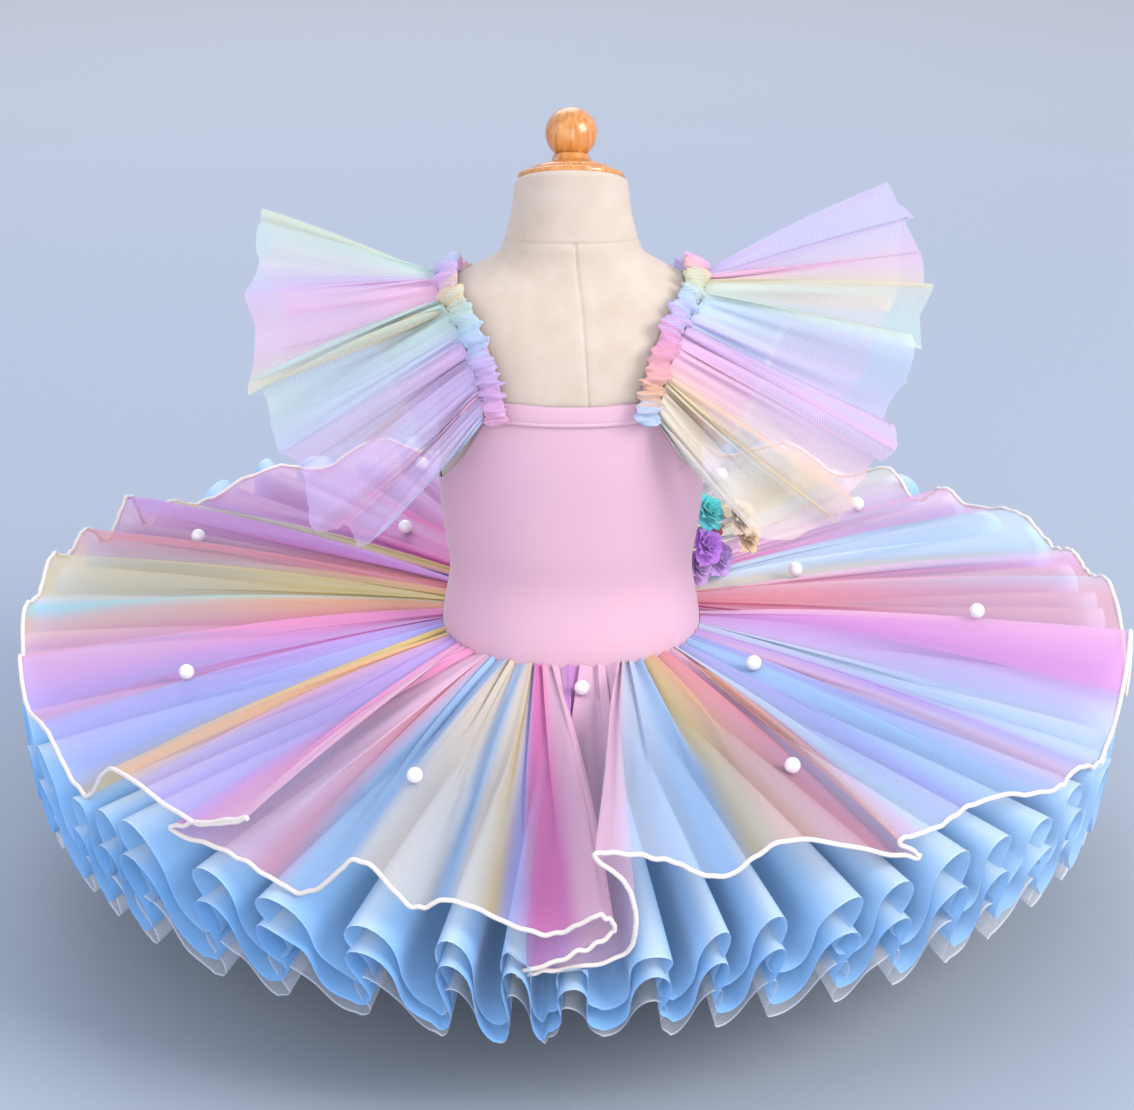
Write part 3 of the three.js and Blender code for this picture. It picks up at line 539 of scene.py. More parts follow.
@dataclass(frozen=True)
class KnitFinish(Finish):
    """Brushed polyester and elastane knit: soft, matt and even, with a slight sheen and fine wales."""

    name: str = "stretch_knit"
    colour: str = "#DFB5C5"
    shade: str = "#D8AABB"
    wale: float = 1.1
    roughness: float = 0.62

    def surface(self, tree: bpy.types.NodeTree) -> bpy.types.Node:
        """Draws the surface in the tree."""
        place = add_node(tree, "ShaderNodeTexCoord").outputs["Object"]
        wales = add_node(tree, "ShaderNodeTexWave", {
            "Vector": place, "Scale": ONE_BAND / (self.wale * MM), "Distortion": 0.6, "Detail": 1.0,
        }, bands_direction="X")
        courses = add_node(tree, "ShaderNodeTexWave", {
            "Vector": place, "Scale": ONE_BAND / (self.wale * 0.8 * MM), "Distortion": 0.6, "Detail": 1.0,
        }, bands_direction="Z")
        loops = add_node(tree, "ShaderNodeMath", {
            0: wales.outputs["Fac"], 1: courses.outputs["Fac"],
        }, operation="MULTIPLY")
        bump = add_node(tree, "ShaderNodeBump", {
            "Height": loops.outputs[0], "Strength": 0.12, "Distance": 0.0004,
        })
        cloud = add_node(tree, "ShaderNodeTexNoise", {"Vector": place, "Scale": 9.0, "Detail": 2.0})
        tone = add_node(tree, "ShaderNodeMix", {
            0: cloud.outputs["Fac"], 6: srgb(self.colour), 7: srgb(self.shade),
        }, data_type="RGBA")
        return add_node(tree, "ShaderNodeBsdfPrincipled", {
            "Base Color": tone.outputs[2], "Roughness": self.roughness, "Sheen Weight": 0.35,
            "Sheen Roughness": 0.4, "Normal": bump.outputs[0], "Specular IOR Level": 0.35,
        })


@dataclass(frozen=True)
class LinenFinish(Finish):
    """Unbleached linen and cotton cover cloth: matt, warm beige, plain weave with slubs."""

    name: str = "linen_cover_cloth"
    colour: str = "#D3C3B4"
    shade: str = "#CAB7A3"
    thread: float = 0.9

    def surface(self, tree: bpy.types.NodeTree) -> bpy.types.Node:
        """Draws the surface in the tree."""
        place = add_node(tree, "ShaderNodeTexCoord").outputs["Object"]
        threads = []
        for direction in ("X", "Z"):
            wave = add_node(tree, "ShaderNodeTexWave", {
                "Vector": place, "Scale": ONE_BAND / (self.thread * MM), "Distortion": 1.5,
                "Detail": 2.0, "Detail Scale": 2.0,
            }, bands_direction=direction)
            threads.append(wave.outputs["Fac"])
        weave = add_node(tree, "ShaderNodeMath", dict(enumerate(threads)), operation="MAXIMUM")
        bump = add_node(tree, "ShaderNodeBump", {
            "Height": weave.outputs[0], "Strength": 0.16, "Distance": 0.0005,
        })
        slub = add_node(tree, "ShaderNodeTexNoise", {"Vector": place, "Scale": 60.0, "Detail": 4.0})
        blotch = add_node(tree, "ShaderNodeTexNoise", {"Vector": place, "Scale": 8.0, "Detail": 2.0})
        mixed = add_node(tree, "ShaderNodeMath", {
            0: slub.outputs["Fac"], 1: blotch.outputs["Fac"],
        }, operation="MULTIPLY")
        spread = add_node(tree, "ShaderNodeMapRange", {
            "Value": mixed.outputs[0], "From Min": 0.12, "From Max": 0.42,
        })
        tone = add_node(tree, "ShaderNodeMix", {
            0: spread.outputs[0], 6: srgb(self.colour), 7: srgb(self.shade),
        }, data_type="RGBA")
        return add_node(tree, "ShaderNodeBsdfPrincipled", {
            "Base Color": tone.outputs[2], "Roughness": 0.88, "Sheen Weight": 0.15,
            "Normal": bump.outputs[0], "Specular IOR Level": 0.25,
        })


@dataclass(frozen=True)
class WoodFinish(Finish):
    """Turned beech under honey-coloured varnish: long fine grain below a glossy clear coat."""

    name: str = "varnished_beech"
    light: str = "#E7A052"
    dark: str = "#B9682A"
    grain: float = 3.0

    def surface(self, tree: bpy.types.NodeTree) -> bpy.types.Node:
        """Draws the surface in the tree."""
        place = add_node(tree, "ShaderNodeTexCoord").outputs["Object"]
        scale = 1 / (self.grain * MM)
        stretched = add_node(tree, "ShaderNodeMapping", {
            "Vector": place, "Rotation": (0.2, 0.1, 0.0), "Scale": (scale, scale * 0.6, scale * 0.09),
        })
        grain = add_node(tree, "ShaderNodeTexNoise", {
            "Vector": stretched.outputs[0], "Scale": 1.0, "Detail": 5.0, "Roughness": 0.6,
            "Distortion": 0.6,
        })
        spread = add_node(tree, "ShaderNodeMapRange", {
            "Value": grain.outputs["Fac"], "From Min": 0.32, "From Max": 0.72,
        })
        tone = add_node(tree, "ShaderNodeMix", {
            0: spread.outputs[0], 6: srgb(self.light), 7: srgb(self.dark),
        }, data_type="RGBA")
        bump = add_node(tree, "ShaderNodeBump", {
            "Height": grain.outputs["Fac"], "Strength": 0.08, "Distance": 0.0004,
        })
        return add_node(tree, "ShaderNodeBsdfPrincipled", {
            "Base Color": tone.outputs[2], "Roughness": 0.34, "Coat Weight": 0.8, "Coat Roughness": 0.12,
            "Normal": bump.outputs[0],
        })


@dataclass(frozen=True)
class ThreadFinish(Finish):
    """Spun polyester sewing thread or soft yarn: matt with a fine twist."""

    name: str
    colour: str
    twist: float = 1.2
    roughness: float = 0.6

    def surface(self, tree: bpy.types.NodeTree) -> bpy.types.Node:
        """Draws the surface in the tree."""
        place = add_node(tree, "ShaderNodeTexCoord").outputs["Object"]
        fuzz = add_node(tree, "ShaderNodeTexNoise", {
            "Vector": place, "Scale": 1 / (self.twist * MM), "Detail": 3.0,
        })
        bump = add_node(tree, "ShaderNodeBump", {
            "Height": fuzz.outputs["Fac"], "Strength": 0.35, "Distance": 0.0005,
        })
        return add_node(tree, "ShaderNodeBsdfPrincipled", {
            "Base Color": srgb(self.colour), "Roughness": self.roughness, "Sheen Weight": 0.3,
            "Normal": bump.outputs[0],
        })


@dataclass(frozen=True)
class PearlFinish(Finish):
    """Imitation pearl: a moulded bead under nacre lacquer, milky with a soft bright gloss."""

    name: str = "pearl_lacquer"
    colour: str = "#FBF5F1"
    cloudy: str = "#F1E6EE"

    def surface(self, tree: bpy.types.NodeTree) -> bpy.types.Node:
        """Draws the surface in the tree."""
        place = add_node(tree, "ShaderNodeTexCoord").outputs["Object"]
        cloud = add_node(tree, "ShaderNodeTexNoise", {"Vector": place, "Scale": 90.0, "Detail": 1.0})
        tone = add_node(tree, "ShaderNodeMix", {
            0: cloud.outputs["Fac"], 6: srgb(self.colour), 7: srgb(self.cloudy),
        }, data_type="RGBA")
        return add_node(tree, "ShaderNodeBsdfPrincipled", {
            "Base Color": tone.outputs[2], "Roughness": 0.22, "Coat Weight": 1.0, "Coat Roughness": 0.06,
            "Sheen Weight": 0.2, "Specular IOR Level": 0.7,
        })


@dataclass(frozen=True)
class SilkFinish(Finish):
    """Dyed artificial silk, heat-pressed into petals: matt, with fine veins that run to the rim."""

    name: str
    colour: str

    def surface(self, tree: bpy.types.NodeTree) -> bpy.types.Node:
        """Draws the surface in the tree."""
        place = add_node(tree, "ShaderNodeTexCoord").outputs["Object"]
        veins = add_node(tree, "ShaderNodeTexNoise", {"Vector": place, "Scale": 420.0, "Detail": 2.0})
        bump = add_node(tree, "ShaderNodeBump", {
            "Height": veins.outputs["Fac"], "Strength": 0.2, "Distance": 0.0006,
        })
        cloud = add_node(tree, "ShaderNodeTexNoise", {"Vector": place, "Scale": 120.0, "Detail": 1.0})
        tone = add_node(tree, "ShaderNodeMix", {
            0: cloud.outputs["Fac"], 6: srgb(self.colour), 7: (0.93, 0.93, 0.93, 1.0),
        }, data_type="RGBA", blend_type="MULTIPLY")
        body = add_node(tree, "ShaderNodeBsdfPrincipled", {
            "Base Color": tone.outputs[2], "Roughness": 0.6, "Sheen Weight": 0.4,
            "Normal": bump.outputs[0], "Specular IOR Level": 0.3,
        })
        through = add_node(tree, "ShaderNodeBsdfTranslucent", {"Color": tone.outputs[2]})
        return add_node(tree, "ShaderNodeMixShader", {0: 0.4, 1: body.outputs[0], 2: through.outputs[0]})


@dataclass(frozen=True)
class FloorFinish(Finish):
    """Painted studio floor: plain, matt and pale, with painted shade: darker close under the object,
    paler far away.
    """

    name: str = "studio_floor_paint"
    # The darker near colour is painted shade close under the dress; the far colour is paler.
    near: str = "#A8B0BC"
    far: str = "#C2C0C0"
    near_radius: float = 0.9
    far_radius: float = 4.2

    def surface(self, tree: bpy.types.NodeTree) -> bpy.types.Node:
        """Draws the surface in the tree."""
        place = add_node(tree, "ShaderNodeTexCoord").outputs["Object"]
        away = add_node(tree, "ShaderNodeVectorMath", {0: place}, operation="LENGTH")
        spread = add_node(tree, "ShaderNodeMapRange", {
            "Value": away.outputs["Value"], "From Min": self.near_radius, "From Max": self.far_radius,
        }, interpolation_type="SMOOTHSTEP")
        tone = add_node(tree, "ShaderNodeMix", {
            0: spread.outputs[0], 6: srgb(self.near), 7: srgb(self.far),
        }, data_type="RGBA")
        return add_node(tree, "ShaderNodeBsdfPrincipled", {
            "Base Color": tone.outputs[2], "Roughness": 0.9, "Specular IOR Level": 0.1,
        })


# ------------------------------------------------------------------ geometry nodes
class Recipe:
    """A Geometry Nodes tree with named inputs, ended by Realize Instances and Set Material."""

    def __init__(self, name: str, sizes: dict[str, float]) -> None:
        """Starts the tree.

        Args:
            name: the tree's name.
            sizes: its number inputs and their default values, in metres.
        """
        self.tree = bpy.data.node_groups.new(name, "GeometryNodeTree")
        face = self.tree.interface
        face.new_socket("Geometry", in_out="INPUT", socket_type="NodeSocketGeometry")
        for label, value in sizes.items():
            face.new_socket(label, in_out="INPUT", socket_type="NodeSocketFloat").default_value = value
        face.new_socket("Material", in_out="INPUT", socket_type="NodeSocketMaterial")
        face.new_socket("Geometry", in_out="OUTPUT", socket_type="NodeSocketGeometry")
        self.given = add_node(self.tree, "NodeGroupInput").outputs

    def add(self, kind: str, fill: dict[str | int, Any] | None = None, **settings: Any) -> bpy.types.Node:
        """Adds a node to the tree."""
        return add_node(self.tree, kind, fill, **settings)

    def end(self, geometry: bpy.types.NodeSocket) -> "Recipe":
        """Realizes what the tree made, gives it the material and closes the tree."""
        real = self.add("GeometryNodeRealizeInstances", {"Geometry": geometry})
        smooth = self.add("GeometryNodeSetShadeSmooth", {"Geometry": real.outputs[0]})
        dressed = self.add("GeometryNodeSetMaterial", {
            "Geometry": smooth.outputs[0], "Material": self.given["Material"],
        })
        self.add("NodeGroupOutput", {"Geometry": dressed.outputs[0]})
        return self

    def make(self, name: str, source: bpy.types.Object, inputs: dict[str, Any]) -> bpy.types.Object:
        """Runs the tree on an object and keeps the result as a plain mesh.

        Args:
            name: the new piece's name.
            source: the object the tree starts from, which is removed.
            inputs: values of the named inputs.

        Returns:
            The new piece.
        """
        modifier = source.modifiers.new(self.tree.name, "NODES")
        modifier.node_group = self.tree
        for item in self.tree.interface.items_tree:
            if item.in_out == "INPUT" and item.name in inputs:
                modifier[item.identifier] = inputs[item.name]
        graph = bpy.context.evaluated_depsgraph_get()
        mesh = bpy.data.meshes.new_from_object(source.evaluated_get(graph), depsgraph=graph)
        mesh.name = name
        source.modifiers.remove(modifier)
        bpy.data.objects.remove(source)
        return add_object(name, mesh)


def line_object(name: str, lines: Sequence[np.ndarray], closed: bool = False) -> bpy.types.Object:
    """A curve object with one straight-jointed spline for each line of points in millimetres."""
    curve = bpy.data.curves.new(name, "CURVE")
    curve.dimensions = "3D"
    for line in lines:
        spline = curve.splines.new("POLY")
        spline.points.add(len(line) - 1)
        flat = np.concatenate([line * MM, np.ones((len(line), 1))], axis=1)
        spline.points.foreach_set("co", flat.ravel())
        spline.use_cyclic_u = closed
    return add_object(name, curve)


def stitch_recipe() -> Recipe:
    """Rounded stitches at an even pitch along curves."""
    recipe = Recipe("running_stitches", {"Pitch": 0.003, "Length": 0.002, "Thickness": 0.0006})
    spots = recipe.add("GeometryNodeCurveToPoints", {
        "Curve": recipe.given["Geometry"], "Length": recipe.given["Pitch"],
    }, mode="LENGTH")
    bead = recipe.add("GeometryNodeMeshUVSphere", {"Segments": 6, "Rings": 5, "Radius": 0.5})
    size = recipe.add("ShaderNodeCombineXYZ", {
        "X": recipe.given["Thickness"], "Y": recipe.given["Thickness"], "Z": recipe.given["Length"],
    })
    stitches = recipe.add("GeometryNodeInstanceOnPoints", {
        "Points": spots.outputs["Points"], "Instance": bead.outputs["Mesh"],
        "Rotation": spots.outputs["Rotation"], "Scale": size.outputs[0],
    })
    return recipe.end(stitches.outputs[0])


def cord_recipe() -> Recipe:
    """A round cord along a curve."""
    recipe = Recipe("round_cord", {"Radius": 0.0016})
    ring = recipe.add("GeometryNodeCurvePrimitiveCircle", {
        "Resolution": 10, "Radius": recipe.given["Radius"],
    })
    cord = recipe.add("GeometryNodeCurveToMesh", {
        "Curve": recipe.given["Geometry"], "Profile Curve": ring.outputs[0],
    })
    return recipe.end(cord.outputs[0])


def bead_recipe() -> Recipe:
    """A round bead at each vertex."""
    recipe = Recipe("sewn_beads", {"Radius": 0.0054})
    ball = recipe.add("GeometryNodeMeshUVSphere", {
        "Segments": 32, "Rings": 20, "Radius": recipe.given["Radius"],
    })
    spots = recipe.add("GeometryNodeMeshToPoints", {"Mesh": recipe.given["Geometry"]})
    beads = recipe.add("GeometryNodeInstanceOnPoints", {
        "Points": spots.outputs[0], "Instance": ball.outputs["Mesh"],
    })
    return recipe.end(beads.outputs[0])


def petal_recipe() -> Recipe:
    """Copies of a petal set in a spiral round +Z: the outer ones lie open and the inner ones stand up."""
    recipe = Recipe("petal_whorl", {"Count": 11.0, "Open": 1.35, "Upright": 0.25, "Turn": 2.399963})
    count = recipe.add("FunctionNodeFloatToInt", {0: recipe.given["Count"]})
    spots = recipe.add("GeometryNodePoints", {"Count": count.outputs[0]})
    index = recipe.add("GeometryNodeInputIndex").outputs[0]
    share = recipe.add("ShaderNodeMath", {0: index, 1: recipe.given["Count"]}, operation="DIVIDE")
    spin = recipe.add("ShaderNodeMath", {0: index, 1: recipe.given["Turn"]}, operation="MULTIPLY")
    lean = recipe.add("ShaderNodeMapRange", {
        "Value": share.outputs[0], "To Min": recipe.given["Open"], "To Max": recipe.given["Upright"],
    })
    uneven = recipe.add("FunctionNodeRandomValue", {
        "ID": index, "Seed": 5, 2: -0.22, 3: 0.22,
    }, data_type="FLOAT")
    slant = recipe.add("ShaderNodeMath", {0: lean.outputs[0], 1: uneven.outputs[1]}, operation="ADD")
    turned = recipe.add("ShaderNodeCombineXYZ", {"Y": slant.outputs[0], "Z": spin.outputs[0]})
    small = recipe.add("ShaderNodeMapRange", {"Value": share.outputs[0], "To Min": 1.0, "To Max": 0.5})
    petals = recipe.add("GeometryNodeInstanceOnPoints", {
        "Points": spots.outputs[0], "Instance": recipe.given["Geometry"],
        "Rotation": turned.outputs[0], "Scale": small.outputs[0],
    })
    return recipe.end(petals.outputs[0])


# ------------------------------------------------------------------ what every sub-assembly uses
class Workshop:
    """The finishes and node trees, and the ways a finished piece is attached to the body."""

    def __init__(self) -> None:
        """Makes each finish and tree once."""
        self.rainbow = NetFinish("printed_tulle", cover=0.45, gathered_for=210).build()
        self.sleeve_net = NetFinish(
            "printed_tulle_sleeve", cover=0.38, gathered_cover=0.8, gathered_for=70,
        ).build()
        self.bunched = NetFinish("printed_tulle_gathered", cover=0.62, gathered_cover=0.62).build()
        self.blue_pale = NetFinish("sky_tulle_upper", cover=0.84, edge=308).build()
        self.blue = NetFinish("sky_tulle_lower", cover=0.84, edge=313).build()
        self.white = NetFinish("white_tulle", cover=0.32, edge=310, contrast=0.4).build()
        self.knit = KnitFinish().build()
        self.linen = LinenFinish().build()
        self.wood = WoodFinish().build()
        self.cord = ThreadFinish("cream_satin_cord", "#EBDDD3", roughness=0.42).build()
        self.pink_thread = ThreadFinish("pink_sewing_thread", "#F6DCEB", twist=0.5).build()
        self.seam_thread = ThreadFinish("linen_sewing_thread", "#DCC6AC", twist=0.5).build()
        self.pearl = PearlFinish().build()
        self.stitches = stitch_recipe()
        self.cords = cord_recipe()
        self.beads = bead_recipe()
        self.petals = petal_recipe()

    def finish(self, piece: bpy.types.Object, slot: str, *nodes: str) -> bpy.types.Object:
        """Attaches a finished piece to the body, hides the frame's nodes that it stands for and logs its
        face count.

        Args:
            piece: the object.
            slot: not used.
            *nodes: the nodes of the frame that it stands for.

        Returns:
            The same object.
        """
        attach(piece, BODY)
        if nodes:
            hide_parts(*nodes)
        LOG.info("%s: %d faces", piece.name, len(piece.data.polygons))
        return piece

    def sew(self, name: str, lines: Sequence[np.ndarray], slot: str, pitch: float = 3.0,
            length: float = 2.1, thickness: float = 0.6) -> bpy.types.Object:
        """Runs stitches along lines of points.

        Args:
            name: the piece's name.
            lines: the lines, in millimetres.
            slot: the record's material slot, which also picks the thread.
            pitch: from one stitch to the next.
            length: of a stitch.
            thickness: of the thread.

        Returns:
            The finished piece.
        """
        thread = self.seam_thread if slot == "linen_cover" else self.pink_thread
        piece = self.stitches.make(name, line_object(name + "_line", lines), {
            "Pitch": pitch * MM, "Length": length * MM, "Thickness": thickness * MM, "Material": thread,
        })
        return self.finish(piece, slot)

    def cloth(self, piece: bpy.types.Object, sheet: Sheet, held: str, rests_on: Sequence[Any],
              with_pieces: Sequence[bpy.types.Object] = ()) -> None:
        """Works out a sheet's flat width, length and area; nothing more is done with the piece."""
        width, length, area = sheet.size()


# ------------------------------------------------------------------ the dress form
FORM_RINGS = Table("height halfWidth halfDepth middleY tip", [
    (92, 62, 54, -3, 0), (98, 73, 63, -3, 0), (118, 83, 70, -4, 0), (155, 89, 75.5, -4, 0),
    (200, 90, 75.5, -3.5, 0), (242, 84, 70, 0, 0), (275, 88.5, 74, 2.5, 0), (305, 91.5, 77, 4, 0),
    (345, 93, 77, 2.5, 0), (385, 93, 72, 0, 0), (420, 92, 62, -2, 0), (440, 88.5, 52, -1.5, 0),
    (451, 83, 45, 0, 0), (461, 66, 40, 3, 2), (470, 51, 39, 5, 6), (485, 45, 39, 7, 12),
    (502, 41, 38, 8.5, 19), (520, 39, 37.5, 10, 25),
], key="height")
FORM_SQUARENESS = 2.2


def form_point(angle: np.ndarray | float, height: np.ndarray | float) -> np.ndarray:
    """Points on the form's surface.

    Args:
        angle: from the centre back.
        height: above the floor, on the ring's axis.

    Returns:
        The points, with one more axis than the arguments together.
    """
    angle, height = np.broadcast_arrays(np.asarray(angle, float), np.asarray(height, float))
    ring = FORM_RINGS.read(height)

    def rounded(value: np.ndarray) -> np.ndarray:
        """Squares off a sine or cosine."""
        return np.sign(value) * np.abs(value) ** (2 / FORM_SQUARENESS)

    x = ring["halfWidth"] * rounded(sin_deg(angle))
    y = -ring["halfDepth"] * rounded(cos_deg(angle))
    return np.stack([x, ring["middleY"] + y, height - y * np.tan(np.radians(ring["tip"]))], axis=-1)


def form_normal(angle: np.ndarray | float, height: np.ndarray | float) -> np.ndarray:
    """The form's outward direction at each point."""
    angle, height = np.asarray(angle, float), np.asarray(height, float)
    around = form_point(angle + 1, height) - form_point(angle - 1, height)
    up = form_point(angle, height + 1) - form_point(angle, height - 1)
    return unit(np.cross(around, up))


def off_form(angle: Any, height: Any, distance: Any) -> np.ndarray:
    """Points at a distance outside the form's surface."""
    return form_point(angle, height) + form_normal(angle, height) * np.asarray(distance, float)[..., None]


def dent(value: np.ndarray, middle: float, width: float) -> np.ndarray:
    """A smooth bump of height one about the middle."""
    return np.exp(-(((value - middle) / width) ** 2))


@dataclass
class DressForm:
    """The limbless form: a padded body under a linen cover, with a turned cap, ball, post and foot.

    Attributes:
        neck_seam: the height of the seam round the neck.
        back_seam: the angles of the centre-back seam at the bodice and at the neck seam.
    """

    neck_seam: float = 480.5
    back_seam: tuple[float, float] = (6.0, 2.4)
    neck_roll: float = 3.0
    cap_radius: float = 37
    collar_radius: float = 14
    ball_radius: float = 18
    ball_place: float = 33
    post_radius: float = 13
    foot_radius: float = 92
    foot_height: float = 14
    base: float = 92
    top: float = 520

    def seam_angle(self, height: np.ndarray) -> np.ndarray:
        """The centre-back seam's angle at a height: it leans a little, as the cover was sewn."""
        low, high = self.back_seam
        return np.interp(height, [380, self.neck_seam], [low, high])

    def cover(self, shop: Workshop) -> None:
        """The body under its cover, with the neck and centre-back seams drawn in."""
        heights = np.unique(np.concatenate([
            np.linspace(self.base, self.top, 120),
            np.linspace(self.neck_seam - 5, self.neck_seam + 5, 26),
            np.linspace(self.top - self.neck_roll, self.top, 10),
        ]))
        angles = np.unique(np.concatenate([np.arange(-180, 180, 2.5), np.linspace(-1, 10, 56)]))
        angle, height = np.meshgrid(angles, heights)
        ring = form_point(angle, height)
        inward = 0.55 * dent(height, self.neck_seam, 0.9) - 0.3 * dent(height, self.neck_seam - 4, 2.2)
        girth = np.hypot(ring[..., 0], ring[..., 1])
        away = np.abs(angle - self.seam_angle(height)) * girth * math.pi / 180
        below = height < self.neck_seam
        pucker = 1 + 0.5 * np.sin(height * 0.9) * np.sin(height * 0.37)
        inward += below * (0.7 * dent(away, 0, 0.8) - 0.22 * pucker * dent(away, 3, 2))
        rolled = np.clip((height - self.top + self.neck_roll) / self.neck_roll, 0, 1)
        inward += self.neck_roll * (1 - np.sqrt(1 - 0.98 * rolled**2))
        points = ring - form_normal(angle, height) * inward[..., None]
        vertices = points.reshape(-1, 3)
        faces = facing_out(vertices, tube_faces(len(heights), len(angles)))
        piece = mesh_piece("torso_cover", vertices, faces, shop.linen)
        shop.finish(piece, "linen_cover", "form_torso")
        around = np.linspace(-175, 180, 220)
        line = off_form(around, self.neck_seam - 1.2, np.full(len(around), 0.05))
        shop.sew("cover_seam_stitches", [line], "linen_cover", pitch=3.1, length=1.5, thickness=0.4)

    def turned(self, shop: Workshop, name: str, profile: list[tuple[float, float]], node: str,
               tip: float = 0.0, foot: tuple[float, float, float] = (0, 0, 0)) -> None:
        """A piece of wood turned on a lathe.

        Args:
            shop: the workshop.
            name: the piece's name.
            profile: radius and height from the bottom up.
            node: the frame's node that it stands for.
            tip: how far its axis leans forward.
            foot: where the axis starts.
        """
        sides = 96
        turn = 2 * math.pi * np.arange(sides) / sides
        radii = np.array([r for r, _ in profile])[:, None]
        z = np.broadcast_to(np.array([h for _, h in profile])[:, None], (len(profile), sides))
        x, y = radii * np.cos(turn), radii * np.sin(turn)
        lean = math.radians(tip)
        points = np.stack([
            x + foot[0],
            y * math.cos(lean) + z * math.sin(lean) + foot[1],
            z * math.cos(lean) - y * math.sin(lean) + foot[2],
        ], axis=-1).reshape(-1, 3)
        faces = facing_out(points, tube_faces(len(profile), sides))
        shop.finish(mesh_piece(name, points, faces, shop.wood), "varnished_wood", node)

    def wood(self, shop: Workshop) -> None:
        """The cap, the ball, the post and the foot."""
        neck = FORM_RINGS.read(self.top)
        tip, foot = float(neck["tip"]), (0.0, float(neck["middleY"]), self.top + 0.3)
        arc = np.linspace(0, math.pi / 2, 9)
        r, collar = self.cap_radius, self.collar_radius
        rim = [(0.2, 0.0), (r - 2, 0.0)]
        rim += [(r - 2 + 2 * math.sin(a), 2 - 2 * math.cos(a)) for a in arc[1:]]
        rim += [(r - 2.2 + 2.2 * math.cos(a), 2.6 + 2.2 * math.sin(a)) for a in arc]
        shoulder = [(r - 4, 5.0), (r - 6, 5.4)]
        dome = [(collar + (r - 8 - collar) * math.cos(a) ** 1.3, 5.6 + 6.4 * math.sin(a)) for a in arc]
        neck_top = self.ball_place - self.ball_radius * 0.82
        waist = [(0.92, 1.6), (0.86, 0.6), (0.6, 0)]
        waist = [(collar * share, neck_top - drop) for share, drop in waist]
        self.turned(shop, "turned_cap", rim + shoulder + dome + waist + [(0.2, neck_top)],
                    "form_neck_cap", tip, foot)
        globe = np.linspace(-math.pi / 2 + 0.02, math.pi / 2 - 0.02, 48)
        ball = [(self.ball_radius * math.cos(a), self.ball_place - 0.3 + self.ball_radius * math.sin(a))
                for a in globe]
        self.turned(shop, "turned_ball", ball, "form_ball_finial", tip, foot)
        p, low, high = self.post_radius, self.foot_height + 0.3, self.base - 0.3
        flare = np.linspace(0, 1, 12)
        post = [(0.2, low), (p + 5, low), (p + 5, low + 3)]
        post += [(p + 5 * (1 - t) ** 2, low + 3 + 8 * t) for t in flare]
        post += [(p + 5 * t**2, high - 11 + 8 * t) for t in flare]
        post += [(p + 5, high), (0.2, high)]
        self.turned(shop, "turned_post", post, "stand_post")
        wide, above = self.foot_radius - 4, self.foot_height - 4
        edge = [(wide + 4 * math.cos(a), above + 4 * math.sin(a)) for a in arc]
        plate = [(0.2, 0.0), (self.foot_radius - 1, 0.0), (self.foot_radius, 1.0)]
        self.turned(shop, "turned_foot", plate + edge + [(0.2, self.foot_height)], "stand_foot")

    def build(self, shop: Workshop) -> None:
        """Makes the whole form."""
        self.cover(shop)
        self.wood(shop)


# ------------------------------------------------------------------ the bodice
BODICE_EDGE = Table("angle back front", [
    (0, 384, 390), (30, 384, 390), (37, 370, 374), (50, 342, 344), (70, 317, 318), (90, 307, 307),
], key="angle")


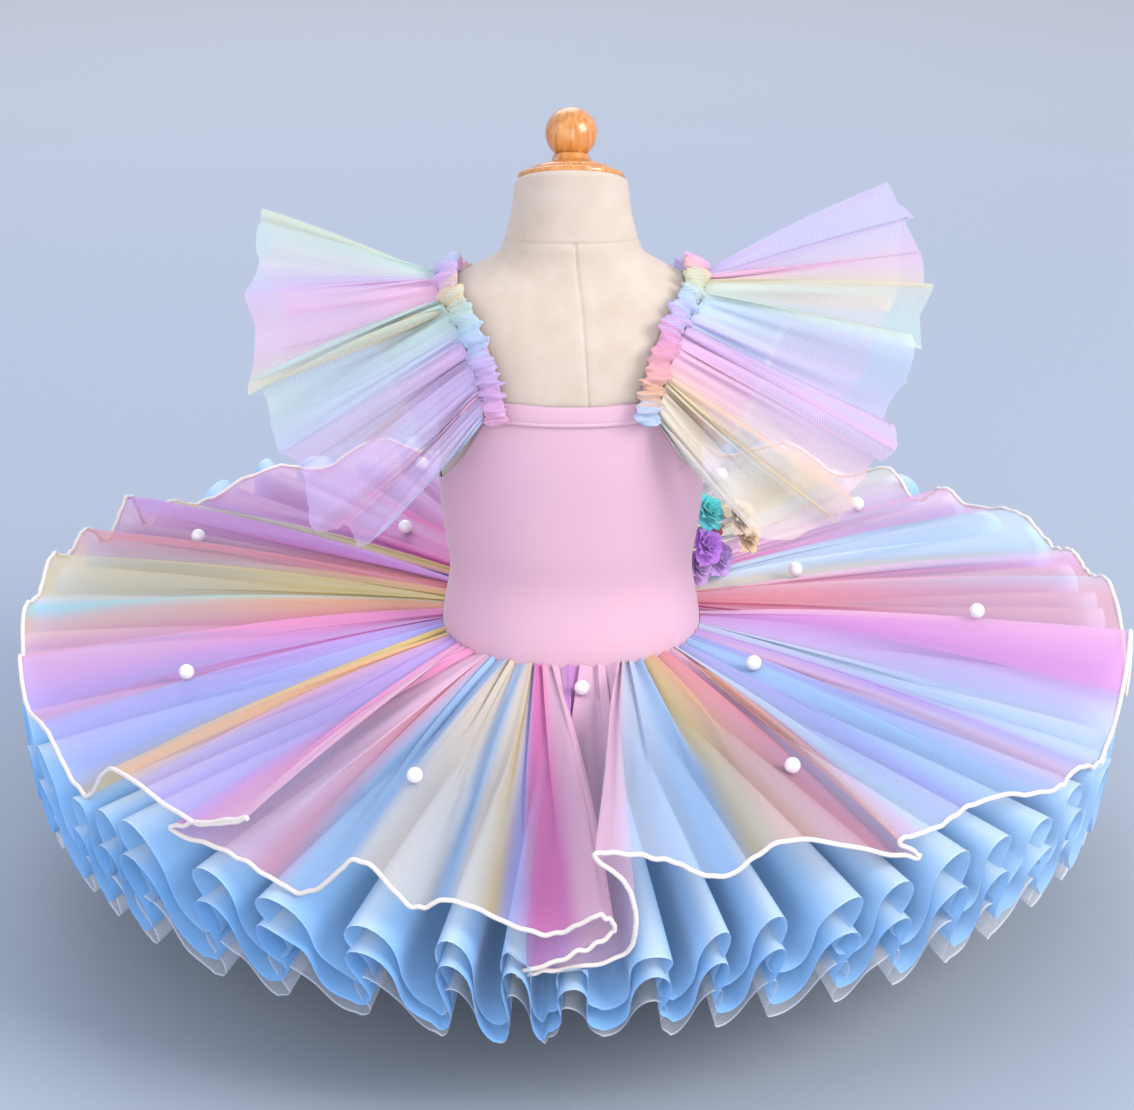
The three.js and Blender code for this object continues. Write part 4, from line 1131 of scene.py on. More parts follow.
@dataclass
class Bodice:
    """The close-fitting top: a back and a front panel, a turned band at each neckline, and stitching."""

    wall: float = 1.2
    clearance: float = 1.3
    hem: float = 178
    seam_gap: float = 0.3
    band_half_angle: float = 30
    band_depth: float = 14
    columns: int = 120
    rows: int = 70
    girth_radius: float = 90

    @property
    def outer(self) -> float:
        """How far the bodice's face stands off the form."""
        return self.clearance + self.wall

    def edge_height(self, side: str, from_middle: np.ndarray) -> np.ndarray:
        """The height of the panel's upper edge."""
        return BODICE_EDGE.read(np.abs(from_middle))[side]

    def panel(self, shop: Workshop, side: str, centre: float) -> None:
        """One panel, from its hem under the skirt to its neckline and armholes."""
        reach = 90 - math.degrees(self.seam_gap / 2 / self.girth_radius)
        from_middle = reach * np.linspace(-1, 1, self.columns)[:, None]
        share = np.linspace(0, 1, self.rows)[None, :]
        top = self.edge_height(side, from_middle)
        height = self.hem + (top - self.hem) * share
        lift = np.full(height.shape, self.clearance + self.wall / 2)
        arc = np.radians(reach - np.abs(from_middle)) * self.girth_radius
        lift -= 0.35 * np.exp(-((arc / 1.6) ** 2))
        lift -= 0.3 * dent(top - height, 0, 1.2)
        points = off_form(centre + from_middle, height, lift)
        sheet = Sheet(points)
        piece = sheet.wall(f"bodice_{side}_panel", shop.knit, self.wall)
        shop.finish(piece, "pink_knit", f"bodice_{side}")
        shop.cloth(piece, sheet, "stretched", ["torso_cover"])

    def band(self, shop: Workshop, side: str, centre: float) -> None:
        """The turned and stitched band along a neckline."""
        columns, rows = 60, 12
        from_middle = self.band_half_angle * np.linspace(-1, 1, columns)[:, None]
        share = np.linspace(0, 1, rows)[None, :]
        top = float(BODICE_EDGE.read(0.0)[side]) + 1
        height = np.broadcast_to(top - self.band_depth * (1 - share), (columns, rows))
        bulge = 0.35 * np.sin(math.pi * share) - 0.35 * dent(height, top - self.band_depth + 2.4, 0.8)
        points = off_form(centre + from_middle, height, self.outer + 0.9 + bulge)
        sheet = Sheet(points)
        piece = sheet.wall(f"neckline_{side}_band", shop.knit, 1.0)
        shop.finish(piece, "pink_knit", f"neck_band_{side}")
        shop.cloth(piece, sheet, "stretched", [f"bodice_{side}_panel"])

    def seams(self, shop: Workshop) -> None:
        """The stitching of the bands and round the armholes."""
        lines, count = [], 60
        around = np.linspace(-29, 29, count)
        for side, centre in (("back", 0), ("front", 180)):
            low = float(BODICE_EDGE.read(0.0)[side]) + 1 - self.band_depth + 2.2
            lines.append(off_form(centre + around, low, np.full(count, self.outer + 1.25)))
            for turn in (-1, 1):
                away = np.linspace(38, 88, count)
                height = self.edge_height(side, away) - 5
                lines.append(off_form(centre + turn * away, height, np.full(count, self.outer + 0.1)))
        shop.sew("bodice_stitches", lines, "pink_knit", pitch=2.6, length=1.9, thickness=0.5)

    def build(self, shop: Workshop) -> None:
        """Makes both panels, their bands and the stitching."""
        for side, centre in (("back", 0.0), ("front", 180.0)):
            self.panel(shop, side, centre)
            self.band(shop, side, centre)
        self.seams(shop)


# ------------------------------------------------------------------ straps and sleeves
class Hand(Enum):
    """The wearer's left or right, with its sign along X."""

    LEFT = -1
    RIGHT = 1

    @property
    def word(self) -> str:
        """The side's name in lower case."""
        return self.name.lower()


STRAP_PATH = Table("angle height lift", [
    (29, 371, 4.0), (30.5, 386, 4.0), (34, 401, 1.6), (41, 422, 1.2), (54, 440, 1.2), (72, 449, 1.5),
    (90, 452, 1.5), (108, 449, 1.5), (126, 440, 1.2), (139, 422, 1.2), (146, 403, 1.6),
    (149.5, 391, 4.0), (151, 377, 4.0),
])
SLEEVE_FOLDS = {
    Hand.LEFT: [
        (0.02, -133, -74, 291, 0), (0.07, -147, -70, 280, -5), (0.12, -163, -54, 290, 5),
        (0.17, -179, -62, 300, -5), (0.22, -184, -46, 326, 6), (0.28, -205, -50, 346, -6),
        (0.33, -208, -34, 366, 6), (0.38, -218, -38, 394, -6), (0.42, -218, -20, 416, 5),
        (0.46, -227, -16, 446, -5), (0.5, -217, 0, 466, 4), (0.54, -209, 14, 496, -4),
        (0.58, -214, 30, 472, 5), (0.65, -215, 54, 436, -6), (0.72, -206, 58, 394, 6),
        (0.79, -200, 80, 352, -6), (0.86, -176, 76, 318, 6), (0.93, -158, 90, 298, -4),
        (0.98, -136, 88, 300, 0),
    ],
    Hand.RIGHT: [
        (0.02, 128, -74, 296, 0), (0.07, 145, -70, 285, -5), (0.12, 166, -54, 284, 5),
        (0.17, 190, -62, 306, -5), (0.22, 206, -48, 326, 6), (0.28, 218, -52, 346, -6),
        (0.33, 226, -36, 376, 6), (0.38, 236, -38, 402, -6), (0.42, 238, -20, 428, 5),
        (0.46, 245, -14, 462, -5), (0.5, 238, 0, 484, 4), (0.54, 214, 14, 514, -4),
        (0.58, 226, 30, 486, 5), (0.65, 232, 54, 446, -6), (0.72, 222, 58, 402, 6),
        (0.79, 212, 80, 356, -6), (0.86, 184, 76, 320, 6), (0.93, 162, 90, 300, -4),
        (0.98, 138, 88, 302, 0),
    ],
}
SLEEVE_PLACES = np.array([row[0] for row in SLEEVE_FOLDS[Hand.LEFT]])
SLEEVE_DYES = {
    Hand.LEFT: DyeChart("""
        0 AQUA  1.2 LILAC  2.2 PINK  3.2 LILAC  4.2 ORCHID  5.0 PERIWINKLE  5.8 MINT  7.0 MINT
        7.5 YELLOW  8.0 PINK  8.8 ORCHID  9.6 LILAC  10.3 MINT  11.2 LIME  12.2 PEACH  13.2 PINK
        14.4 LILAC  15.4 AQUA  16.4 MINT  17.4 YELLOW  18 PINK
    """, pale=0.4),
    Hand.RIGHT: DyeChart("""
        0 AQUA  1.0 CREAM  2.4 YELLOW  3.4 PEACH  4.2 PINK  5.2 ORCHID  6.0 LILAC  6.7 AQUA  7.3 LIME
        8.0 MINT  8.6 YELLOW  9.0 PINK  9.8 PINK  10.5 LILAC  11.4 PERIWINKLE  12.4 MINT  13.4 YELLOW
        14.4 PINK  15.6 LILAC  16.6 AQUA  18 MINT
    """, pale=0.4),
}
HEADING_DYES = {
    Hand.LEFT: DyeChart("""
        0 PINK  0.1 ORCHID  0.2 LILAC  0.26 AQUA  0.32 MINT  0.37 YELLOW  0.42 ORCHID  0.48 LILAC
        0.53 AQUA  0.62 PINK  0.72 YELLOW  0.82 MINT  0.9 LILAC  1 PINK
    """, pale=0.34),
    Hand.RIGHT: DyeChart("""
        0 AQUA  0.05 AQUA  0.11 ORANGE  0.19 SALMON  0.25 MAGENTA  0.3 LILAC  0.35 AQUA  0.41 LIME
        0.47 PEACH  0.52 PINK  0.62 LILAC  0.72 AQUA  0.82 YELLOW  0.9 SALMON  1 ORCHID
    """, pale=0.34),
}


@dataclass
class Sleeve:
    """A strap with its gathered heading, a flutter sleeve and a short tier under it."""

    hand: Hand
    strap_width: float = 11
    strap_wall: float = 1.2
    half_width: float = 6.0
    half_height: float = 4.2
    pucker: float = 0.8
    seam_gap: float = 0.3
    tier_from: float = 0.06
    tier_to: float = 0.4
    tier_reach: float = 0.44
    tier_drop: float = 3

    def __post_init__(self) -> None:
        """Reads the tables of this side."""
        self.side = self.hand.value
        self.folds = Table("along x y z ridge", SLEEVE_FOLDS[self.hand])
        self.folds_by_place = Table("along x y z ridge", SLEEVE_FOLDS[self.hand], key="along")
        self.dyes = SLEEVE_DYES[self.hand]

    @property
    def middle(self) -> float:
        """How far the heading's middle stands off the strap's underside."""
        return self.strap_wall + self.seam_gap + self.half_height + self.pucker

    def frame_at(self, along: np.ndarray) -> tuple[np.ndarray, np.ndarray, np.ndarray]:
        """The strap's underside, the way out of the form and the way across, away from the neck.

        Args:
            along: places on the strap, 0 at the back neckline and 1 at the front.

        Returns:
            Points, outward directions and directions across.
        """
        stations = len(STRAP_PATH.keys) - 1

        def row(place: np.ndarray) -> dict[str, np.ndarray]:
            """The path's row at a place along the strap."""
            return STRAP_PATH.read(np.clip(place, 0, 1) * stations)

        def point(place: np.ndarray) -> np.ndarray:
            """The strap's underside at a place along it."""
            here = row(place)
            return off_form(self.side * here["angle"], here["height"], here["lift"])

        tangent = unit(point(along + 0.02) - point(along - 0.02))
        here = row(along)
        out = form_normal(self.side * here["angle"], here["height"])
        across = unit(np.cross(tangent, out) * self.side)
        return point(along), unit(np.cross(across, tangent) * self.side), across

    def strap(self, shop: Workshop) -> None:
        """The knit strap under the heading."""
        along = np.linspace(0, 1, 90)
        share = np.linspace(-1, 1, 9)[None, :, None]
        foot, out, across = (v[:, None, :] for v in self.frame_at(along))
        arch = self.strap_wall / 2 - 0.25 * share**2
        sheet = Sheet(foot + across * share * self.strap_width / 2 + out * arch)
        piece = sheet.wall(f"strap_{self.hand.word}_strip", shop.knit, self.strap_wall * 0.8)
        shop.finish(piece, "pink_knit", f"strap_{self.hand.word}")
        shop.cloth(piece, sheet, "stretched", ["torso_cover"])

    def heading(self, shop: Workshop) -> None:
        """The gathered heading: a soft casing of net, drawn up along a line on its outer side."""
        stations, sides = 460, 40
        along = np.linspace(0, 1, stations)
        turn = 2 * math.pi * np.arange(sides) / sides
        foot, out, across = (v[:, None, :] for v in self.frame_at(along))
        random = np.random.default_rng(11 + self.side)

        def uneven(count: int) -> np.ndarray:
            """The turn of a wave of uneven length at each station."""
            spots = np.cumsum(random.uniform(0.5, 1.5, count + 1))
            return 2 * math.pi * np.interp(along, np.linspace(0, 1, count + 1), spots)[:, None]

        wave, puffs = uneven(60), uneven(17)
        off_line = np.angle(np.exp(1j * (turn - math.radians(40))))[None, :]
        off_neck = np.angle(np.exp(1j * (turn - math.pi)))[None, :]
        above = (0.5 + 0.5 * np.sin(turn))[None, :]
        crimp = 0.13 * np.cos(wave + 1.6 * off_line + 0.8 * np.sin(2 * turn)[None, :])
        crimp = crimp * (0.45 + np.exp(-((off_line / 0.8) ** 2)))
        swell = (0.5 + 0.5 * np.sin(puffs + 1.3 * off_line)) ** 1.5 * above
        gather = 0.42 * np.exp(-((off_line / 0.26) ** 2))
        size = 1 + crimp + swell + 0.1 * soft_noise(along, 12, 7 + self.side)[:, None] * above - gather
        at_neck = np.exp(-((off_neck / 0.6) ** 2))
        frill = (3.6 + 2.0 * np.sin(puffs * 1.37 + 2) + np.sin(wave * 1.1)) * at_neck
        ruffle = 0.4 * frill + 1.7 * np.sin(wave * 0.8 + 1) * at_neck
        wide = self.half_width * size
        tall = self.half_height * size
        ends = np.sqrt(np.clip(np.minimum(along, 1 - along) / 0.02, 0.05, 1))[:, None]
        points = (foot + across * ((wide * np.cos(turn) - frill) * ends)[..., None]
                  + out * (self.middle + (tall * np.sin(turn) + ruffle) * ends)[..., None])
        dyes = HEADING_DYES[self.hand].read(along[:, None] + 0.015 * np.sin(wave + turn[None, :]))
        vertices = points.reshape(-1, 3)
        faces = facing_out(vertices, tube_faces(stations, sides))
        around = np.arange(sides + 1) * (2 * self.half_width / sides * 2.6)
        length = along * line_length(points[:, 0])
        uv = []
        for face in faces:
            if len(face) > 4:
                uv += [(0.0, 0.2)] * len(face)
                continue
            turns = [index % sides for index in face]
            wrap = max(turns) == sides - 1 and min(turns) == 0
            for index, t in zip(face, turns):
                t = sides if wrap and t == 0 else t
                uv.append((length[index // sides] * MM, around[t] * MM + 0.2))
        piece = mesh_piece(f"heading_{self.hand.word}_casing", vertices, faces, shop.bunched,
                           np.array(uv), dyes.reshape(-1, 3))
        shop.finish(piece, "rainbow_net", f"sleeve_heading_{self.hand.word}")

    def root(self, along: np.ndarray, drop: float) -> np.ndarray:
        """Where a sleeve is sewn to the heading, a drop below the heading's middle."""
        foot, out, across = self.frame_at(along)
        shoulder = math.sqrt(1 - (drop / (self.half_height + self.pucker)) ** 2)
        reach = (self.half_width + self.pucker) * shoulder + 2 * self.seam_gap
        return foot + across * reach + out * (self.middle - drop)

    def flutter(self, shop: Workshop) -> None:
        """The sleeve: a fan of net in uneven folds, crimped where it is gathered on."""
        spans = len(SLEEVE_PLACES) - 1
        columns, rows, crimps = 26 * spans + 1, 44, 64
        place = np.linspace(0, spans, columns)
        fold = self.folds.read(place)
        root = self.root(fold["along"], 0)[:, None, :]
        facing = self.frame_at(fold["along"])[1][:, None, :]
        free = np.stack([fold["x"], fold["y"], fold["z"]], axis=-1)[:, None, :]
        share = np.linspace(0, 1, rows)
        out = share[None, :, None]
        points = root + (free - root) * out
        ridge = 5 * np.cos(math.pi * place)[:, None, None]
        points = points - facing * ridge * (1.6 * out * (1 - out))
        random = np.random.default_rng(21 + self.side)
        gather = np.cumsum(random.uniform(0.7, 1.3, columns)) * 2 * math.pi * crimps / columns
        crimp = np.sin(gather)[:, None, None] * 1.4 * (1 - out) ** 2 * np.sqrt(out)
        minor = np.sin(gather * 0.41 + 1)[:, None, None] * 2.0 * out * (1 - out) ** 0.6
        belly = soft_noise(place / spans, 7, 31 + self.side)[:, None, None]
        belly = belly * 2.5 * np.sin(math.pi * out) ** 1.2
        points = points + facing * (crimp + minor + belly)
        points = Laps(13, 71 + self.side, 1.8, (0.16, 0.46), (2.5, 6.0), 5.0).lay(points, False, share)
        hem = line_length(points[:, -1])
        along = np.linspace(0, 1, rows) * np.linalg.norm(free - root, axis=-1).mean()
        dyes = self.dyes.read(np.broadcast_to(place[:, None], (columns, rows)))
        across = np.linspace(0, hem, columns)
        sheet = Sheet(points, False, across, along, dyes, turned=self.side < 0)
        piece = sheet.film(f"sleeve_{self.hand.word}_flutter", shop.sleeve_net)
        shop.finish(piece, "rainbow_net", f"sleeve_{self.hand.word}")
        shop.cloth(piece, sheet, "gathered", [f"heading_{self.hand.word}_casing"])

    def under_tier(self, shop: Workshop) -> None:
        """The short tier under the back half of the sleeve, with a rippled edge."""
        columns, rows = 181, 24
        share = np.linspace(0, 1, columns)
        along = self.tier_from + (self.tier_to - self.tier_from) * share
        fold = self.folds_by_place.read(along)
        root = self.root(along, self.tier_drop)[:, None, :]
        start = self.root(along, 0)
        free = start + (np.stack([fold["x"], fold["y"], fold["z"]], axis=-1) - start) * self.tier_reach
        facing = self.frame_at(along)[1]
        wave = 2.5 * np.cos(8 * math.pi * share) + 1.6 * np.cos(22 * math.pi * share + 1)
        free = (free + facing * (wave - 4 * self.tier_drop)[:, None])[:, None, :]
        out = np.linspace(0, 1, rows)[None, :, None]
        points = root + (free - root) * out
        crimp = np.sin(34 * math.pi * share)[:, None, None] * 0.9 * (1 - out) * np.sqrt(out)
        points = points + facing[:, None, :] * crimp
        hem = line_length(points[:, -1])
        length = np.linspace(0, 1, rows) * float(np.linalg.norm(free - root, axis=-1).mean())
        place = np.interp(along, SLEEVE_PLACES, np.arange(len(SLEEVE_PLACES)))
        dyes = self.dyes.read(np.broadcast_to(place[:, None], (columns, rows)) + 0.8)
        # Painted highlight: the last two rows along the rippled edge are painted white.
        dyes[:, -2:] = 1.0
        sheet = Sheet(points, False, np.linspace(0, hem, columns), length, dyes, turned=self.side < 0)
        piece = sheet.film(f"tier_{self.hand.word}_under", shop.sleeve_net)
        shop.finish(piece, "rainbow_net", f"sleeve_under_tier_{self.hand.word}")
        shop.cloth(piece, sheet, "gathered", [f"heading_{self.hand.word}_casing"])

    def build(self, shop: Workshop) -> None:
        """Makes the strap, the heading and both tiers."""
        self.strap(shop)
        self.heading(shop)
        self.flutter(shop)
        self.under_tier(shop)


# ------------------------------------------------------------------ the skirt
TOP_FOLDS = [
    (-172, -1.0, -164, 2.5, 290), (-156, -1.0, -149, 2.2, 290), (-142, 0.3, -131, 2.4, 292),
    (-126, 0.2, -121.8, 2.4, 292), (-118.5, -3.9, -114, 0.8, 292), (-109, -3.2, -104, -1.6, 292),
    (-98.5, -4.5, -93, -1.6, 292), (-87, -2.8, -82, 1.2, 296), (-78.5, -0.3, -73, 3.5, 298),
    (-66, 3.2, -56.5, 7.2, 294), (-50, 0.2, -38, 2.2, 292), (-31.5, -0.8, -41.5, 4.6, 292),
    (-33.5, 5.0, -25.5, 7.9, 292), (-19.5, 1.6, -14.5, 7.2, 292), (-10.5, 6.0, -2.4, 10.4, 290),
    (2.2, 6.9, 3.4, 9.6, 294), (-0.8, 12.6, -4.2, 15.0, 300), (4.0, 13.2, 5.6, 8.4, 296),
    (4.8, 3.0, 2.0, -1.4, 292), (8.0, -0.4, 13.6, 2.7, 292), (20.5, -1.0, 34.2, 5.8, 292),
    (32, 2.6, 36.4, 2.4, 292), (43, 0.9, 55.8, 5.9, 294), (59.5, 4.6, 71, 9.0, 298),
    (82.5, -2.2, 80.2, 5.8, 303), (94, -1.8, 101.8, 0.4, 300), (105, -1.6, 110, 0.2, 294),
    (117, -1.8, 126, 0.9, 292), (130.5, -0.3, 134.8, 3.2, 290), (139, -0.6, 146, 2.6, 290),
    (153, -1.0, 161, 2.4, 290), (168, -1.0, 176, 1.8, 290),
]
LOWER_DROOPS = Table("angle blue_upper blue_lower net", [
    (-180, 5.6, 8.6, 11.4), (-150, 5.4, 8.4, 11.2), (-122, 5.4, 8.6, 11.2), (-96, 5.0, 9.6, 12.8),
    (-80, 7.6, 12.4, 15.6), (-62, 10.8, 14.6, 17.6), (-42, 11.2, 14.4, 17.8), (-22, 12.8, 15.2, 18.2),
    (-3, 16.6, 18.0, 19.4), (16, 12.4, 15.2, 18.4), (35, 11.0, 14.4, 17.8), (54, 11.2, 14.2, 17.4),
    (72, 12.4, 14.8, 17.4), (90, 8.0, 11.6, 14.4), (112, 4.8, 8.2, 11), (136, 6.2, 9.0, 12),
    (158, 5.4, 8.6, 11.4), (180, 5.6, 8.6, 11.4),
], key="angle")
# The stripes of the top layer, by the turn of its free edge: 2 for each fold, from the centre front.
TOP_DYES = DyeChart("""
    0 PINK  1.5 PINK  2.4 PINK  3.2 MAGENTA  4 PINK  5 MAGENTA  5.8 YELLOW  6.4 PEACH  7 PERIWINKLE
    8 ORCHID  8.8 SALMON  10 SALMON  11 PEACH  11.8 YELLOW  13.0 YELLOW  13.5 CREAM  14.0 MINT
    14.4 PEACH  14.8 SALMON  15.4 PINK  16.4 PINK  17.0 ORCHID  17.5 MAGENTA  17.9 LILAC
    18.5 PERIWINKLE  19.0 YELLOW  19.6 YELLOW  20.1 PEACH  20.6 LILAC  21.0 LILAC  21.5 PINK  22.0 BLUSH
    22.6 PINK  23.2 PINK  24.0 BLUSH  24.4 SALMON  24.8 AQUA  25.6 AQUA  26.0 CREAM  27.2 CREAM
    27.8 AQUA  28.1 CREAM  28.4 YELLOW  28.6 PERIWINKLE  28.9 MAGENTA  29.3 MAGENTA  29.7 BLUSH
    31.4 BLUSH  32.0 ORCHID  33.0 PINK  33.6 BLUSH  37.3 BLUSH  37.7 ICE  39.2 AQUA  39.6 YELLOW
    40.1 PEACH  40.6 SALMON  41.2 BLUSH  41.8 PEACH  42.5 BLUSH  42.9 ICE  43.6 PERIWINKLE  44.3 AQUA
    45.0 PERIWINKLE  45.6 BLUSH  46.3 LILAC  47.0 ICE  47.6 ORCHID  48.3 BLUSH  49.0 PINK  49.8 SALMON
    50.4 BLUSH  51.0 SALMON  51.6 PINK  52.0 BLUSH  52.6 CREAM  53.1 ICE  54.2 ICE  54.8 PINK
    55.6 BLUSH  56.4 PINK  57.2 BLUSH  58.0 CREAM  59.2 YELLOW  60.2 CREAM  61.2 BLUSH  62.6 LILAC
    64 PINK
""", pale=0.1)
PEARLS = [
    (-171, 0.42), (-155, 0.7), (-136, 0.35), (-113, 0.71), (-70, 0.66), (-19, 0.68), (5, 0.12),
    (32, 0.67), (51, 0.23), (82, 0.64), (107, 0.29), (127, 0.68), (153, 0.63), (172, 0.3),
]


class Layer(Enum):
    """The skirt's lower layers, from the top down, with each one's place below the top layer."""

    BLUE_UPPER = 1
    BLUE_LOWER = 2
    NET = 3


@dataclass(frozen=True)
class LayerCut:
    """The cut of one lower layer.

    Attributes:
        side_reach: its length from the seam at the sides.
        back_reach: its length at the centre front and back.
        swing: how steeply its folds stand, in degrees.
        depth: how deep its folds are at the free edge.
        colour: its colour.
        highlight_colour: the paler colour that the painted highlight along the crests and the painted
            light on the right side are mixed towards.
    """

    side_reach: float
    back_reach: float
    swing: float
    depth: float
    colour: str
    highlight_colour: str


LAYER_CUTS = {
    Layer.BLUE_UPPER: LayerCut(300, 308, 104, 50, "#98CEFF", "#D6EDFF"),
    Layer.BLUE_LOWER: LayerCut(304, 313, 100, 46, "#84C4FF", "#CBE6FF"),
    Layer.NET: LayerCut(302, 310, 84, 34, "#E9EDF8", "#FFFFFF"),
}


def meander(swing: float, steps: int) -> tuple[np.ndarray, np.ndarray]:
    """One fold of a strip of cloth stood on edge, from valley to valley.

    Args:
        swing: the steepest angle of its sides.
        steps: points over the fold.

    Returns:
        The way across, 0 to 1, and the height, 0 to 1 at the crest. The last point is left out.
    """
    fine = 40
    s = (np.arange(steps * fine) + 0.5) / (steps * fine)
    slope = math.radians(swing) * np.sin(2 * math.pi * s)
    across = np.concatenate([[0], np.cumsum(np.cos(slope))])
    height = np.concatenate([[0], np.cumsum(np.sin(slope))])
    return (across / across[-1])[:-1:fine], (height / height.max())[:-1:fine]


@dataclass
class Skirt:
    """The tutu: a printed top layer edged with cord over two blue layers and a white net, with beads.

    Attributes:
        bodice: what the layers are sewn to.
        seam_height: the top layer's seam, and seam_dip how much lower it lies at the centre back.
        layer_step: from each layer's seam down to the next one's.
        arch: how far a layer bows up between its seam and its free edge.
        pearl_search: how many degrees to each side a bead looks for the highest step.
        top_steps: columns of the top layer from each crest or trough to the next.
        fold_count: folds of each lower layer, with fold_steps columns each.
        fold_level: the height in a fold, as a share, that lies on the layer's own droop.
        crest_power: how narrow the painted highlight along the folds' crests is.
    """

    bodice: Bodice
    seam_height: float = 200
    seam_dip: float = 4
    layer_step: float = 3.6
    arch: float = 5
    cord_radius: float = 1.6
    pearl_radius: float = 5.4
    pearl_search: float = 2.2
    top_steps: int = 28
    top_rows: int = 44
    fold_count: int = 51
    fold_steps: int = 28
    fold_level: float = 0.42
    crest_power: int = 14
    lower_rows: int = 30

    def seam(self, angle: np.ndarray, index: int) -> np.ndarray:
        """Where a layer is sewn to the bodice."""
        height = self.seam_height - self.seam_dip * cos_deg(angle) - self.layer_step * index
        point = off_form(angle, height, np.full(np.shape(angle), self.bodice.outer + 0.42))
        point[..., 2] = height
        return point

    def spread(self, gather: np.ndarray, angle: np.ndarray, droop: np.ndarray, reach: np.ndarray,
               out: np.ndarray, index: int) -> np.ndarray:
        """Points of a layer.

        Args:
            gather: each column's angle at the seam.
            angle: each column's angle at the free edge.
            droop: how far the column falls below level.
            reach: its length.
            out: each row's share of the way out.
            index: the layer, 0 for the top one.

        Returns:
            Columns by rows by three.
        """
        level, drop = cos_deg(droop) * reach, sin_deg(droop) * reach
        fall = np.stack([level * sin_deg(angle), -level * cos_deg(angle), -drop], axis=-1)
        start = self.seam(gather, index)[:, None, :]
        hem = (self.seam(angle, index) + fall)[:, None, :]
        share = out[None, :, None]
        points = start + (hem - start) * share
        points[..., 2] += self.arch * 4 * out * (1 - out)
        return points

    def top_edge(self) -> tuple[np.ndarray, np.ndarray, np.ndarray, np.ndarray]:
        """The top layer's free edge.

        Returns:
            The turn of each column, and its angle, droop and reach.
        """
        turns = []
        for crest, crest_droop, trough, trough_droop, reach in TOP_FOLDS:
            turns += [(crest, crest_droop, reach), (trough, trough_droop, reach)]
        count = len(turns)
        table = np.array(turns * 3, dtype=float)
        table[:, 0] += np.repeat([-360, 0, 360], count)
        place = np.arange(count * self.top_steps) / self.top_steps
        i = place.astype(int) + count
        t = (place - place.astype(int))[:, None]
        a, b, c, d = (table[i + k] for k in (-1, 0, 1, 2))
        rise, fall = (c - a) / 2, (d - b) / 2
        edge = b + t * (rise + t * (3 * (c - b) - 2 * rise - fall + t * (rise + fall - 2 * (c - b))))
        return place, edge[:, 0], edge[:, 1], edge[:, 2]

    def top_layer(self) -> Sheet:
        """The printed layer, in broad folds with finer pleats that run out from the gathers."""
        place, angle, droop, reach = self.top_edge()
        hem = self.spread(angle, angle, droop, reach, np.array([1.0]), 0)[:, 0]
        steps = np.linalg.norm(np.roll(hem, -1, axis=0) - hem, axis=1)
        walked = np.concatenate([[0], np.cumsum(steps)[:-1]])
        even = 360 * walked / steps.sum()
        gather = even + (angle - even).mean()
        out = np.linspace(0, 1, self.top_rows)
        points = self.spread(gather, angle, droop, reach, out, 0)
        share = walked / steps.sum()
        points = Laps(74, 67, 1.8, (0.16, 0.4), (0.45, 1.1)).lay(points, True, out)
        normal = -grid_normals(points, True)
        pleat = np.sin(2 * math.pi * (190 * share + 0.8 * soft_noise(share, 24, 41)))[:, None]
        fade = (1 - out)[None, :]
        lift = 1.2 * pleat * fade**1.6 * out[None, :] ** 0.5
        lift = lift + 1.0 * soft_noise(share, 200, 45)[:, None] * np.sin(math.pi * out)[None, :] ** 2
        points = points + normal * lift[..., None]
        dyes = TOP_DYES.read(np.broadcast_to(place[:, None], points.shape[:2]))
        across = share * steps.sum()
        return Sheet(points, True, across, out * float(reach.mean()), dyes, turned=True)

    def press(self, points: np.ndarray, top: np.ndarray, gap: float) -> np.ndarray:
        """Presses a lower layer down wherever its folds would come through the top layer.

        Args:
            points: the lower layer's points.
            top: the top layer's points.
            gap: how far below the top layer it stays.

        Returns:
            The pressed points.
        """
        degrees, ring = 2, 8
        turns, rings = 360 // degrees, 64

        def place(at: np.ndarray) -> tuple[np.ndarray, np.ndarray]:
            """Where points lie on a round grid, in its steps of degrees and of millimetres."""
            turn = np.degrees(np.arctan2(at[..., 0], -at[..., 1])) % 360
            return turn / degrees, np.clip(np.hypot(at[..., 0], at[..., 1]) / ring, 1, rings - 2)

        turn, away = place(top)
        low = np.full((turns, rings), np.inf)
        np.minimum.at(low, (turn.astype(int) % turns, away.astype(int)), top[..., 2])
        known = np.isfinite(low)
        height, count = np.zeros(low.shape), np.zeros(low.shape)
        for i in (-1, 0, 1):
            for j in (-1, 0, 1):
                near = np.roll(known, (i, j), axis=(0, 1))
                height += np.where(near, np.roll(low, (i, j), axis=(0, 1)), 0)
                count += near
        height = np.where(count > 0, height / np.maximum(count, 1), 999.0)
        turn, away = place(points)
        a, b = np.floor(turn - 0.5).astype(int), np.floor(away - 0.5).astype(int)
        s, t = turn - 0.5 - a, away - 0.5 - b
        here, following = a % turns, (a + 1) % turns
        found = ((height[here, b] * (1 - s) + height[following, b] * s) * (1 - t)
                 + (height[here, b + 1] * (1 - s) + height[following, b + 1] * s) * t)
        over = (points[..., 2] - found + gap) / 2
        pressed = points.copy()
        pressed[..., 2] -= 2 * np.logaddexp(0, np.clip(over, -30, 60)) * (over > -12)
        return pressed

